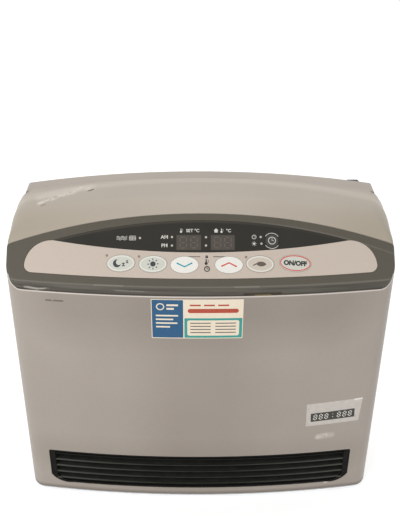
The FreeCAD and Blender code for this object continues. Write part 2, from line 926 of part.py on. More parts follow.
def make_outlet_grille():
    """Black frame behind the outlet with curved level vanes."""
    gap = float(s.fit_gap)
    wall = float(s.panel_wall)
    back = float(s.grille_back)
    rim = float(s.grille_rim)
    bowed = prism(plan_outline(wall, back), 0, s.panel_high)
    ends = float(s.grille_end)
    frame = outlet_prism(gap, gap, back).cut(outlet_prism(rim, ends, back)).common(bowed)
    inside = outlet_prism(rim - gap / 2, ends - gap / 2, back)
    strip = bow_strip(wall + 1, float(s.vane_depth))
    thick = float(s.vane_wall)
    middle = float(s.outlet_low + s.outlet_high) / 2
    grille = frame
    for i in range(int(float(s.vane_count))):
        z = middle + (i - (float(s.vane_count) - 1) / 2) * float(s.vane_pitch)
        grille = grille.fuse(prism(strip, z - thick / 2, z + thick / 2).common(inside))
    return shaped("outlet_grille", grille)


def make_base_tray():
    inset = float(s.panel_wall) + float(s.tray_gap)
    wall = float(s.panel_wall)
    rear = float(s.tray_rear)
    plate = prism(plan_outline(inset, rear), s.foot_height, tray_top)
    rim = prism(plan_outline(inset, rear), tray_top, tray_top + s.tray_rim)
    rim = rim.cut(prism(plan_outline(inset + wall, rear - wall), 0, s.panel_high))
    return shaped("base_tray", plate.fuse(rim))


def make_rear_panel():
    wall = float(s.rear_wall)
    back = float(s.body_depth)
    shell = rear_prism(0, s.rear_front, back).cut(rear_prism(-wall, float(s.rear_front) - wall, back - wall))
    opening = float(s.filter_half) - float(s.filter_border)
    low = float(s.filter_low) + float(s.filter_border)
    high = float(s.filter_high) - float(s.filter_border)
    shell = shell.cut(Part.makeBox(2 * opening, 4 * wall, high - low, Vector(-opening, back - 2 * wall, low)))
    cup = float(s.cup_half)
    shell = shell.cut(Part.makeBox(2 * cup, 4 * wall, 2 * cup,
                                   Vector(float(s.inlet_x) - cup, back - 2 * wall, float(s.inlet_z) - cup)))
    cord_hole = Part.makeCylinder(float(s.gland_radius), 4 * wall,
                                  Vector(-float(s.gland_x), back - 2 * wall, float(s.gland_z)), Vector(0, 1, 0))
    shell = shell.cut(cord_hole)
    shell = shell.fuse(rear_ears())
    return shaped("rear_panel", shell.cut(screw_holes()))


def make_filter_rails():
    """Two hooked rails and a stop that hold the filter on the rear cover."""
    gap = float(s.fit_gap)
    wall = float(s.rail_wall)
    back = float(s.body_depth)
    proud = float(s.rear_proud)
    low = float(s.filter_low) - gap - wall
    tall = float(s.filter_high) - low - 8 * wall
    inner = float(s.filter_half) + gap
    rails = []
    for sign in (-1, 1):
        side = Part.makeBox(wall, proud, tall, Vector(inner if sign > 0 else -inner - wall, back, low))
        hook = Part.makeBox(2 * wall, wall / 2, tall,
                            Vector(inner - wall if sign > 0 else -inner - wall, back + proud - wall / 2, low))
        rails += [side, hook]
    stop = Part.makeBox(2 * inner, proud, wall, Vector(-inner, back, low))
    return shaped("filter_rails", stop.fuse(rails).removeSplitter())


def rear_ears():
    """Tabs that overlap the cabinet's rear edge, for the rear screws."""
    wall = float(s.rear_wall)
    reach = float(s.ear_width) + float(s.fit_gap) + wall
    tall = float(s.ear_height)
    ears = []
    for x, z in screw_spots():
        start = float(s.rear_half) - wall if x > 0 else -float(s.rear_half) + wall - reach
        ears.append(Part.makeBox(reach, wall, tall, Vector(start, float(s.cover_depth), z - tall / 2)))
    return ears


def make_rear_screws():
    head = float(s.screw_head)
    seat = float(s.cover_depth + s.rear_wall)
    screws = []
    for x, z in screw_spots():
        cap = Part.makeCylinder(head, head / 2, Vector(x, seat, z), Vector(0, 1, 0))
        rim = [e for e in cap.Edges if abs(e.BoundBox.YMin - seat - head / 2) < 0.01]
        cap = cap.makeFillet(head / 4, rim)
        shank = Part.makeCylinder(float(s.screw_radius), 2 * head,
                                  Vector(x, seat - 2 * head, z), Vector(0, 1, 0))
        screws.append(cap.fuse(shank))
    return shaped("rear_screws", Part.makeCompound(screws))


def make_air_filter():
    """Removable filter: a frame with ribs over a fine mesh panel."""
    gap = float(s.fit_gap)
    back = float(s.body_depth)
    front_y = back + gap
    deep = float(s.rear_proud) - float(s.rail_wall) / 2 - 2 * gap
    wide = float(s.filter_half)
    low = float(s.filter_low)
    tall = float(s.filter_high) - low
    border = float(s.filter_border)
    rib = float(s.filter_rib)
    frame = Part.makeBox(2 * wide, deep, tall, Vector(-wide, front_y, low))
    frame = frame.cut(Part.makeBox(2 * (wide - border), 3 * deep, tall - 2 * border,
                                   Vector(border - wide, front_y - deep, low + border)))
    mesh = Part.makeBox(2 * (wide - border) + 2, float(s.filter_mesh), tall - 2 * border + 2,
                        Vector(border - wide - 1, front_y + deep / 2, low + border - 1))
    filled = frame.fuse(mesh)
    for i in range(1, 5):
        x = -wide + border + 2 * (wide - border) * i / 5
        filled = filled.fuse(Part.makeBox(rib, deep / 2, tall - 2 * border + 2,
                                          Vector(x - rib / 2, front_y + deep / 2, low + border - 1)))
    for i in range(1, 4):
        z = low + border + (tall - 2 * border) * i / 4
        filled = filled.fuse(Part.makeBox(2 * (wide - border) + 2, deep / 2, rib,
                                          Vector(border - wide - 1, front_y + deep / 2, z - rib / 2)))
    return shaped("air_filter", filled.removeSplitter())


def make_room_sensor():
    body = new_body("room_sensor", s.sensor_x, s.body_depth, s.sensor_low)
    sketch = new_sketch(body, "room_sensor_base", "XY_Plane")
    wide = s.sensor_width / 2
    deep = s.rear_proud - 1
    polygon(sketch, [(-wide, 0.0), (wide, 0.0), (wide * 0.8, deep), (-wide * 0.8, deep)])
    pad(body, "room_sensor_pad", sketch, s.sensor_high - s.sensor_low)
    return body


def make_feet():
    feet = []
    corners = [(-1, s.foot_front), (1, s.foot_front), (-1, s.foot_back), (1, s.foot_back)]
    for i, (sign, y) in enumerate(corners):
        x = s.foot_spread * sign
        pad_low = cylinder(f"foot_{i}_pad", "Z", (x, y, 0.0), s.foot_radius, s.foot_height)
        feet.append(pad_low)
    return keep(group("feet", *feet), "feet")


# Fan pieces

def make_fan_casing():
    outer = s.duct_half
    inner = s.duct_half - s.duct_wall
    wall = s.duct_wall
    y, z = s.fan_y, s.fan_z
    up_front = y - s.scroll_radius + 8
    up_back = y + s.scroll_radius
    throat_low = z - s.scroll_radius
    throat_high = s.outlet_high + 0.8
    skin = join(
        "casing_skin",
        cylinder("casing_round", "X", (-outer, y, z), s.scroll_radius + wall, outer * 2),
        box("casing_riser", (-outer, outer), (up_front - wall, up_back + wall), (z, s.casing_top)),
        box("casing_throat", (-outer, outer), (s.throat_front, y), (throat_low - wall, throat_high + wall)),
    )
    hollow = join(
        "casing_hollow",
        cylinder("casing_bore", "X", (-inner, y, z), s.scroll_radius, inner * 2),
        box("casing_well", (-inner, inner), (up_front, up_back), (z, s.casing_top + 1)),
        box("casing_mouth", (-inner, inner), (s.throat_front - 1, y), (throat_low, throat_high)),
    )
    leg_back = s.tray_rear - s.panel_wall * 2
    legs = [box(f"casing_leg_{i}", x, (s.throat_front, leg_back), (tray_top, z))
            for i, x in enumerate([(-outer, -inner), (inner, outer)])]
    whole = join("casing_whole", cut("casing_shell", skin, hollow), *legs)
    bearing_hole = cylinder("casing_bearing_hole", "X", (-outer - 1, y, z), s.bearing_radius, wall + 2)
    motor_hole = cylinder("casing_motor_hole", "X", (inner - 1, y, z), s.bearing_radius, wall + 2)
    return keep(cut("fan_casing", whole, bearing_hole, motor_hole), "fan_casing")


def make_outlet_duct():
    outer = s.duct_half
    wall = s.duct_wall
    low = s.fan_z - s.scroll_radius - wall
    high = s.outlet_high + 0.8 + wall
    depth = (s.grille_back + s.fit_gap, s.throat_front - s.fit_gap)
    skin = box("duct_skin", (-outer, outer), depth, (low, high))
    hollow = box("duct_hollow", (wall - outer, outer - wall), (depth[0] - 1, depth[1] + 1),
                 (low + wall, high - wall))
    return keep(cut("outlet_duct", skin, hollow), "outlet_duct")


def make_fan_rotor():
    """Cross-flow impeller: two end discs joined by a ring of thin blades."""
    length = (s.duct_half - s.duct_wall) * 2 - 8
    body = new_body("fan_rotor", -length / 2, s.fan_y, s.fan_z)
    disc = new_sketch(body, "rotor_disc_left", "YZ_Plane")
    circle(disc, 0.0, 0.0, s.rotor_radius)
    pad(body, "rotor_left", disc, s.rotor_disc)
    disc = new_sketch(body, "rotor_disc_right", "YZ_Plane", length - s.rotor_disc)
    circle(disc, 0.0, 0.0, s.rotor_radius)
    blade = new_sketch(body, "rotor_blade_outline", "YZ_Plane")
    inner = s.rotor_radius - s.blade_depth
    polygon(blade, [(inner, 0.5), (s.rotor_radius - 0.5, 3.0),
                    (s.rotor_radius - 0.5, s.blade_wall + 3.0), (inner, s.blade_wall + 0.5)])
    first = pad(body, "rotor_blade", blade, length)
    ring = body.newObject("PartDesign::PolarPattern", "rotor_blades")
    ring.Originals = [first]
    ring.Axis = (next(f for f in body.Origin.OriginFeatures if f.Role == "X_Axis"), [""])
    ring.Angle = 360
    bind(ring, "Occurrences", s.blade_count)
    body.Tip = ring
    pad(body, "rotor_right", disc, s.rotor_disc)
    bore = new_sketch(body, "rotor_bore_circle", "YZ_Plane")
    circle(bore, 0.0, 0.0, s.shaft_radius)
    hole = pocket(body, "rotor_bore", bore, length, True)
    body.Tip = hole
    return body


def make_fan_shaft():
    left = -s.duct_half - s.bearing_length + s.duct_wall
    right = s.duct_half + s.motor_length / 2
    rod = cylinder("fan_shaft", "X", (left, s.fan_y, s.fan_z), s.shaft_radius, right - left)
    return keep(rod, "fan_shaft")


def make_shaft_bearing():
    bore = s.shaft_radius + s.running_gap
    profile = [(0.0, bore), (s.bearing_length, bore), (s.bearing_length, s.bearing_radius + 3),
               (s.duct_wall, s.bearing_radius + 3), (s.duct_wall, s.bearing_radius), (0.0, s.bearing_radius)]
    return turned("shaft_bearing", -s.duct_half + s.duct_wall, s.fan_y, s.fan_z, profile, LEFTWARD)


def make_fan_motor():
    bore = s.shaft_radius + s.running_gap
    depth = s.motor_length / 2 + 2
    nose = s.bearing_radius
    profile = [(0.0, bore), (s.duct_wall + depth, bore), (s.duct_wall + depth, 0.0),
               (s.duct_wall + s.motor_length, 0.0), (s.duct_wall + s.motor_length, s.motor_radius * 0.8),
               (s.duct_wall + s.motor_length - 4, s.motor_radius), (s.duct_wall, s.motor_radius),
               (s.duct_wall, nose), (0.0, nose)]
    return turned("fan_motor", s.duct_half - s.duct_wall, s.fan_y, s.fan_z, profile, RIGHTWARD)


# Burner and gas line

def burner_middle():
    return (chamber_front() + s.chamber_rear) / 2


def chamber_front():
    return s.fan_y - s.scroll_radius + 8 - s.duct_wall


def make_combustion_chamber():
    outer = s.duct_half
    wall = s.duct_wall
    y = (chamber_front(), s.chamber_rear)
    skin = box("chamber_skin", (-outer, outer), y, (s.casing_top, s.chamber_top))
    hollow = box("chamber_hollow", (wall - outer, outer - wall), (y[0] + wall, y[1] - wall),
                 (s.casing_top - 1, s.chamber_top + 1))
    slots = [box(f"chamber_slot_{i}", (wall - outer, outer - wall), (y[1] - 2 * wall, y[1] + 1), z)
             for i, z in enumerate([(s.casing_top - 1, s.chamber_slot_low),
                                    (s.chamber_slot_high, s.chamber_top + 1)])]
    venturi = cylinder("chamber_venturi_hole", "X", (outer - 2 * wall, burner_middle(), burner_axis()),
                       s.venturi_radius + s.fit_gap, 3 * wall)
    rods = [cylinder(f"chamber_rod_hole_{i}", "X", (outer - 2 * wall, burner_middle() + shift, rod_height()),
                     s.venturi_radius / 2, 3 * wall) for i, shift in enumerate((-14, 14))]
    return keep(cut("combustion_chamber", skin, hollow, *slots, venturi, *rods), "combustion_chamber")


def burner_axis():
    return (s.burner_low + s.burner_high) / 2


def rod_height():
    return s.burner_high + 12


def make_burner():
    """Burner bar with a row of flame slots and its mixing tube."""
    length = (s.duct_half - s.duct_wall - s.fit_gap) * 2
    body = new_body("burner", -length / 2, burner_middle() - s.burner_width / 2, s.burner_low)
    sketch = new_sketch(body, "burner_outline", "XY_Plane")
    polygon(sketch, [(0.0, 0.0), (length, 0.0), (length, s.burner_width), (0.0, s.burner_width)])
    tall = s.burner_high - s.burner_low
    wall = s.burner_wall
    pad(body, "burner_bar", sketch, tall)
    hollow = new_sketch(body, "burner_hollow_outline", "YZ_Plane", wall)
    polygon(hollow, [(wall, wall), (s.burner_width - wall, wall), (s.burner_width - wall, tall - wall),
                     (wall, tall - wall)])
    pocket(body, "burner_hollow", hollow, length - wall * 2, True)
    reach = s.duct_wall + 6
    tube = new_sketch(body, "burner_tube_circle", "YZ_Plane", length)
    circle(tube, s.burner_width / 2, tall / 2, s.venturi_radius)
    pad(body, "burner_tube", tube, reach)
    bore = new_sketch(body, "burner_bore_circle", "YZ_Plane", length - wall * 2)
    circle(bore, s.burner_width / 2, tall / 2, s.tube_bore)
    pocket(body, "burner_bore", bore, reach + wall * 3, True)
    first = (length - s.burner_pitch * (s.burner_count - 1)) / 2
    slot = new_sketch(body, "burner_slot_outline", "XY_Plane", tall)
    margin = s.burner_width / 6
    polygon(slot, [(first, margin), (first + s.burner_slot, margin),
                   (first + s.burner_slot, s.burner_width - margin), (first, s.burner_width - margin)])
    cut_slot = pocket(body, "burner_slot_cut", slot, wall * 2)
    row = body.newObject("PartDesign::LinearPattern", "burner_slots")
    row.Originals = [cut_slot]
    row.Direction = (next(f for f in body.Origin.OriginFeatures if f.Role == "X_Axis"), [""])
    bind(row, "Length", s.burner_pitch * (s.burner_count - 1))
    bind(row, "Occurrences", s.burner_count)
    body.Tip = row
    return body


def make_heat_shield():
    """Bent sheet over the chamber and down its front, between flame and cabinet."""
    outer = s.duct_half
    wall = s.duct_wall
    y = chamber_front() - s.shield_gap
    roof = box("shield_roof", (-outer, outer), (y, s.chamber_rear), (s.chamber_top, s.chamber_top + wall))
    apron = box("shield_apron", (-outer, outer), (y, y + wall), (s.outlet_high + 0.8 + wall, s.chamber_top))
    return keep(join("heat_shield", roof, apron), "heat_shield")


def make_overheat_thermostat():
    base = s.chamber_top + s.duct_wall
    profile = [(0.0, 0.0), (7.0, 0.0), (7.0, 6.0), (3.0, 8.0), (1.0, 8.0), (1.0, 11.0), (0.0, 11.0)]
    return turned("overheat_thermostat", 60.0, burner_middle(), base, profile, UPWARD)


def make_rod(label, shift, reach):
    """Ceramic rod through the chamber wall with a bare wire at its tip."""
    ceramic = s.venturi_radius / 2
    outside = s.duct_wall + 12
    profile = [(0.0, 0.0), (outside + 16 + reach, 0.0), (outside + 16 + reach, 1.0),
               (outside + 16, 1.0), (outside + 16, ceramic), (outside - s.duct_wall, ceramic),
               (outside - s.duct_wall, ceramic + 2), (6.0, ceramic + 2), (6.0, ceramic), (0.0, ceramic)]
    return turned(label, s.duct_half - s.duct_wall + outside, burner_middle() + shift, rod_height(),
                  profile, LEFTWARD)


def make_gas_manifold():
    """Block with the jet that feeds the mixing tube, on top of the outlet pipe."""
    face = s.duct_half + 6.0
    middle = burner_middle()
    axis = burner_axis()
    side = s.venturi_radius + 1
    block = box("manifold_block", (face + 5, face + 5 + side * 2), (middle - side, middle + side),
                (axis - side, axis + side))
    jet = cylinder("manifold_jet", "X", (face + s.fit_gap, middle, axis), s.venturi_radius * 0.6, 8.0)
    return keep(join("gas_manifold", block, jet), "gas_manifold")


def manifold_x():
    return s.duct_half + 11.0 + s.venturi_radius + 1


def make_gas_valve():
    """Gas valve block with two solenoids on its front, on the casing's right end."""
    low_x = s.duct_half
    block = box("valve_block", (low_x, low_x + s.valve_width), (s.valve_front, s.valve_front + s.valve_depth),
                (s.valve_low, s.valve_high))
    coils = []
    for i, share in enumerate((0.27, 0.73)):
        height = s.valve_low + (s.valve_high - s.valve_low) * share
        middle = (low_x + s.valve_width / 2, s.valve_front - 20, height)
        coils.append(cylinder(f"valve_coil_{i}", "Y", middle, 9.0, 20.5))
    return keep(join("gas_valve", block, *coils), "gas_valve")


def make_gas_pipe():
    x = manifold_x()
    high = burner_axis() - s.venturi_radius - 1
    pipe = cylinder("gas_pipe", "Z", (x, burner_middle(), s.valve_high), s.pipe_radius, high - s.valve_high)
    return keep(pipe, "gas_pipe")


def make_inlet_pipe():
    side = s.pipe_radius + 2
    low = s.inlet_z + side
    y = cup_front() - s.rear_wall - side
    rod = cylinder("inlet_pipe", "Z", (s.inlet_x, y, low), s.pipe_radius, s.valve_low - low)
    return keep(rod, "inlet_pipe")


def cup_front():
    return s.body_depth - s.rear_wall - s.cup_depth


def make_inlet_cup():
    """Recess in the rear cover that keeps the gas plug inside the body."""
    reach = s.cup_half + s.rear_wall
    y = (cup_front() - s.rear_wall, s.body_depth - s.rear_wall)
    x = (s.inlet_x - reach, s.inlet_x + reach)
    z = (s.inlet_z - reach, s.inlet_z + reach)
    skin = box("cup_skin", x, y, z)
    hollow = box("cup_hollow", (x[0] + s.rear_wall, x[1] - s.rear_wall), (cup_front(), y[1] + 1),
                 (z[0] + s.rear_wall, z[1] - s.rear_wall))
    hole = cylinder("cup_hole", "Y", (s.inlet_x, y[0] - 1, s.inlet_z), s.pipe_radius, s.rear_wall + 2)
    return keep(cut("inlet_cup", skin, hollow, hole), "inlet_cup")


def make_gas_inlet():
    """Gas plug in the recess, with the elbow that turns the gas up to the valve."""
    side = s.pipe_radius + 2
    face = cup_front() - s.rear_wall
    elbow = box("inlet_elbow", (s.inlet_x - side, s.inlet_x + side), (face - side * 2, face),
                (s.inlet_z - side, s.inlet_z + side))
    neck = cylinder("inlet_neck", "Y", (s.inlet_x, face - 1, s.inlet_z), s.pipe_radius, s.rear_wall + 1)
    collar = cylinder("inlet_collar", "Y", (s.inlet_x, cup_front(), s.inlet_z), s.inlet_radius + 3, 2.0)
    plug = cylinder("inlet_plug", "Y", (s.inlet_x, cup_front() + 1, s.inlet_z), s.inlet_radius,
                    s.cup_depth - 3)
    return keep(join("gas_inlet", elbow, neck, collar, plug), "gas_inlet")


# Electrical pieces

def make_board_bracket():
    """Plate with posts that holds the main board on the chamber's left end."""
    x = -s.duct_half
    plate = box("bracket_plate", (x - s.duct_wall, x), (s.main_board_front, s.main_board_back),
                (s.casing_top + 2, s.main_board_high))
    posts = []
    for y in (s.main_board_front + 6, s.main_board_back - 6):
        for z in (s.casing_top + 8, s.main_board_high - 6):
            posts.append(cylinder(f"bracket_post_{len(posts)}", "X", (x - s.duct_wall - s.post_length, y, z),
                                  s.boss_radius, s.post_length + 0.5))
    return keep(join("board_bracket", plate, *posts), "board_bracket")


def make_main_board():
    """Main board with its relay, capacitor and connector blocks."""
    face = -s.duct_half - s.duct_wall - s.post_length
    back = face - s.board_wall
    board = box("main_board_plate", (back, face), (s.main_board_front, s.main_board_back),
                (s.main_board_low, s.main_board_high))
    blocks = []
    components = [(8, 20, 18, 16), (30, 22, 20, 14), (8, 60, 16, 24), (30, 70, 18, 30), (8, 120, 40, 12),
                  (10, 150, 14, 18), (30, 150, 16, 22)]
    for i, (y, z, deep, tall) in enumerate(components):
        blocks.append(box(f"main_board_block_{i}", (back - 12, back + 0.5),
                          (s.main_board_front + y, s.main_board_front + y + deep),
                          (s.main_board_low + z, s.main_board_low + z + tall)))
    return keep(join("main_board", board, *blocks), "main_board")


def make_transformer():
    right = -s.duct_half - 5
    left = right - s.transformer_width
    y = (s.transformer_depth, s.transformer_depth * 2)
    core = box("transformer_core", (left + 4, right - 4), y, (tray_top, tray_top + s.transformer_side))
    coil = box("transformer_coil", (left, right), (y[0] + 9, y[1] - 9),
               (tray_top + 6, tray_top + s.transformer_side - 6))
    return keep(join("transformer", core, coil), "transformer")


def make_spark_unit():
    x = s.duct_half
    low = rod_height() + 20
    case = box("spark_case", (x, x + 26), (chamber_front() + 8, s.chamber_rear - 8), (low, low + 40))
    stud = cylinder("spark_stud", "Y", (x + 13, chamber_front(), low + 20), 4.0, 9.0)
    return keep(join("spark_unit", case, stud), "spark_unit")


def make_cord_gland():
    bore = s.cord_radius
    inside = 4.0
    length = inside + s.rear_wall + 4
    profile = [(0.0, bore), (length, bore), (length, bore + 2), (inside + s.rear_wall, s.gland_radius + 3),
               (inside + s.rear_wall, s.gland_radius), (inside, s.gland_radius), (inside, s.gland_radius + 2),
               (0.0, s.gland_radius + 2)]
    return turned("cord_gland", -s.gland_x, s.body_depth - s.rear_wall - inside, s.gland_z, profile, BACKWARD)


def tip_axis():
    """Middle of the pendulum's pivot: across and height."""
    return -s.duct_half - 8 - s.tip_width / 2, tray_top + s.tip_height - 7


def make_tip_over_switch():
    """Tilt switch housing, open to the front, with the pin that carries its pendulum."""
    x, z = tip_axis()
    wide = s.tip_width / 2
    y = (s.tip_y, s.tip_y + s.tip_depth)
    skin = box("tip_skin", (x - wide, x + wide), y, (tray_top, tray_top + s.tip_height))
    hollow = box("tip_hollow", (x - wide + 2, x + wide - 2), (y[0] - 1, y[1] - 4),
                 (tray_top + 2, tray_top + s.tip_height - 2))
    pin = cylinder("tip_pin", "Y", (x, y[0] + 2, z), s.pivot_radius, s.tip_depth - 4)
    return keep(join("tip_over_switch", cut("tip_shell", skin, hollow), pin), "tip_over_switch")


def make_tip_pendulum():
    """Pendulum that hangs on the pin: an eye, an arm and a bob."""
    x, z = tip_axis()
    y = s.tip_y + 6
    deep = s.tip_depth - 14
    eye = cylinder("pendulum_eye", "Y", (x, y, z), s.pivot_radius * 2.2, deep)
    arm = box("pendulum_arm", (x - 1, x + 1), (y, y + deep), (z - s.pendulum_length, z))
    bob = cylinder("pendulum_bob", "Y", (x, y, z - s.pendulum_length), s.pendulum_bob, deep)
    hole = cylinder("pendulum_hole", "Y", (x, y - 1, z), s.pivot_radius + s.running_gap, deep + 2)
    return keep(cut("tip_pendulum", join("pendulum_blank", eye, arm, bob), hole), "tip_pendulum")


make_front_panel()
make_top_cover()
make_control_bezel()
make_control_fascia()
make_display_window()
for button_name in BUTTON_ROW:
    make_button(button_name)
make_control_board()
make_tact_switches()
make_digit_displays()
make_outlet_grille()
make_base_tray()
make_feet()
make_rear_panel()
make_rear_screws()
make_filter_rails()
make_air_filter()
make_room_sensor()
make_outlet_duct()
make_fan_casing()
make_fan_rotor()
make_fan_shaft()
make_shaft_bearing()
make_fan_motor()
make_combustion_chamber()
make_burner()
make_heat_shield()
make_overheat_thermostat()
make_rod("igniter", -14, 20)
make_rod("flame_sensor", 14, 34)
make_gas_manifold()
make_gas_valve()
make_gas_pipe()
make_inlet_pipe()
make_inlet_cup()
make_gas_inlet()
make_board_bracket()
make_main_board()
make_transformer()
make_spark_unit()
make_cord_gland()
make_tip_over_switch()
make_tip_pendulum()

doc.recompute()

faults = [f"{obj.Label}: {obj.State}" for obj in doc.Objects if {"Invalid", "Error"} & set(obj.State)]
faults += [f"{obj.Label}: no valid shape" for obj in nodes if obj.Shape.isNull() or not obj.Shape.isValid()]
if faults:
    raise RuntimeError("; ".join(faults))

os.makedirs("parts", exist_ok=True)
for obj in nodes:
    obj.Shape.exportStep(f"parts/{obj.Label}.step")
    size = obj.Shape.BoundBox
    sides = f"{size.XLength:.1f} x {size.YLength:.1f} x {size.ZLength:.1f}"
    print(f"{obj.Label}: {len(obj.Shape.Solids)} solids, {sides}")
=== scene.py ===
import math

import bmesh
import bpy
from mathutils import Matrix, Vector


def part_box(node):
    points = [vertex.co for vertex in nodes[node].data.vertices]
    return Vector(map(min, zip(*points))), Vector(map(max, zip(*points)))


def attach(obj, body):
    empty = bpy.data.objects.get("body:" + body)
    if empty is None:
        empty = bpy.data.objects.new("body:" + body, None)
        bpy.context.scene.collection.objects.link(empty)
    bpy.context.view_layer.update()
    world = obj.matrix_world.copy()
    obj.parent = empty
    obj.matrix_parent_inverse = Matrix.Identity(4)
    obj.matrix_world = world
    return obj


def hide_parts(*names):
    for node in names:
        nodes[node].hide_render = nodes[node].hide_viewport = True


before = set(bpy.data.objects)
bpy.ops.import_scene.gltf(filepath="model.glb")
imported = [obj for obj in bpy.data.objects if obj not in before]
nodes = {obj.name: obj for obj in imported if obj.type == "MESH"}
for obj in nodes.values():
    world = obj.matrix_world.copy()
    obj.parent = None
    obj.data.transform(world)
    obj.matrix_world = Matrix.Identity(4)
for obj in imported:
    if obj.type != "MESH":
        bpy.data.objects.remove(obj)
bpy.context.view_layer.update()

MM = 0.001

# Sizes of the heater's skin as the solids have them, and places of its wear and of its painted light and
# shade, in metres

FRONT_Y = -0.0865          # front of the bowed panel
BOW_RADIUS = 1.45          # plan radius of the bowed front
SLOPE = math.radians(46)   # rise of the control panel
SLOPE_FOOT = 0.350         # height where the slope would meet the front
ARCH_AXIS_Z = 0.428 - 1.5  # axis of the panel's side-to-side arch
FASCIA_PROUD = 0.0003      # how far the fascia stands over the window
KEY_PROUD = 0.001          # how far the key tops stand over it
SEAM_BEND_X = 0.215        # where the front panel's top edge starts to curve up to the side
SEAM_BEND_Z = 0.356        # height of that curve's middle
SEAM_BEND = 0.016          # its radius
VANE_END = 0.198           # where the outlet's vanes meet the ends of their frame
VANE_EDGE = 0.0032         # how far behind the bowed front the vanes' front edges reach
VANE_LOW = 0.0281          # height of the lowest vane
VANE_PITCH = 0.0112        # from one vane to the next
DUST_AND_HIGHLIGHT_BELOW = 0.066        # the vanes below this height get dust and a painted highlight; the top one stays dark as painted shadow under the lip
DUST_AND_HIGHLIGHT_X = 0.05              # from here out to the vanes' ends the dust and highlight grow paler
WINDOW_RADIUS = 0.7135     # radius of the window's upper edge, drawn on the slope
WINDOW_TOP = 0.0846        # its middle, up the slope from the foot
NOSE_HIGHLIGHT_Z = 0.352             # height of the painted highlight along the bezel's nose
BAND_TOP = 0.3515          # below this height the bezel's upright band is painted darker as shade and shows its streaks
BAND_FADE = 0.002          # height over which they come in
FOOT_SHADOW_TOP = 0.3434         # below this height the band's foot carries a painted shadow over the seam
FOOT_SHADOW_FADE = 0.0014        # height over which that painted shadow comes in
FOLD_HIGHLIGHT_Y = 0.051              # the painted highlight along the cover's rear edge, at the middle
FOLD_HIGHLIGHT_RADIUS = 1.1           # plan radius of that highlight, which comes forward towards the sides
BLOCK_HIGH = 0.012         # how far the blocks stand out of the main board
SCREW_HEIGHTS = (0.025, 0.1745, 0.324, 0.3686)     # of the rear screws, on either side

# Key middles on the slope: across from the middle and up from the slope's foot, in millimetres

KEYS = {"sleep": (-95.3, 32.4), "morning": (-57.2, 31.1), "down": (-19.7, 30.0), "up": (33.1, 30.0),
        "save": (70.1, 31.2), "power": (112.1, 32.6), "time_set": (84.8, 60.0)}

SINK = 0.2                 # how far a print or sticker reaches into its carrier, in millimetres
BEND_STEP = 6.0            # spacing of the cuts that let a flat drawing bend, in millimetres


# Node and material helpers

def linear(code):
    """An sRGB hex colour as the linear colour that shaders use."""
    parts = [int(code[i:i + 2], 16) / 255 for i in (1, 3, 5)]
    steps = [p / 12.92 if p <= 0.04045 else ((p + 0.055) / 1.055) ** 2.4 for p in parts]
    return (*steps, 1.0)


def add_node(tree, kind, inputs=None, **settings):
    """Add a node, set its fields, and fill or link its inputs, by name or by number."""
    # A Mix node for colours has its share at input 0, its colours at 6 and 7, and its result at output 2
    node = tree.nodes.new(kind)
    for name, value in settings.items():
        setattr(node, name, value)
    for name, value in (inputs or {}).items():
        socket = node.inputs[name]
        if isinstance(value, bpy.types.NodeSocket):
            tree.links.new(value, socket)
        else:
            socket.default_value = value
    return node


def grain(size):
    """Noise scale whose grains are about this many metres across."""
    return 1.0 / size


def start_material(name, shader):
    """A material with its shader and the object's own coordinates."""
    material = bpy.data.materials.new(name)
    material.use_nodes = True
    tree = material.node_tree
    tree.nodes.clear()
    skin = add_node(tree, "ShaderNodeBsdfPrincipled", shader)
    add_node(tree, "ShaderNodeOutputMaterial", {"Surface": skin.outputs[0]})
    place = add_node(tree, "ShaderNodeTexCoord").outputs["Object"]
    return material, tree, skin, place


def mottle(tree, place, size, dark, light, detail=3.0, under=None):
    """Colour that wanders between two shades in patches of one size, alone or half and half with another."""
    cloud = add_node(tree, "ShaderNodeTexNoise", {"Vector": place, "Scale": grain(size), "Detail": detail})
    ramp = add_node(tree, "ShaderNodeValToRGB", {"Fac": cloud.outputs["Fac"]})
    ramp.color_ramp.elements[0].position = 0.3
    ramp.color_ramp.elements[1].position = 0.7
    ramp.color_ramp.elements[0].color = linear(dark)
    ramp.color_ramp.elements[1].color = linear(light)
    colour = ramp.outputs["Color"]
    if under is None:
        return colour
    return add_node(tree, "ShaderNodeMix", {0: 0.5, 6: under, 7: colour}, data_type="RGBA").outputs[2]


def finish_skin(tree, skin, place, colour, size, low, high, height):
    """Give a skin its colour, and let its roughness and a fine relief follow one grain."""
    tree.links.new(colour, skin.inputs["Base Color"])
    cloud = add_node(tree, "ShaderNodeTexNoise", {"Vector": place, "Scale": grain(size), "Detail": 2.0})
    wave = cloud.outputs["Fac"]
    span = add_node(tree, "ShaderNodeMapRange", {"Value": wave, "To Min": low, "To Max": high})
    tree.links.new(span.outputs["Result"], skin.inputs["Roughness"])
    relief = add_node(tree, "ShaderNodeBump", {"Height": wave, "Distance": height, "Strength": 0.5})
    tree.links.new(relief.outputs["Normal"], skin.inputs["Normal"])


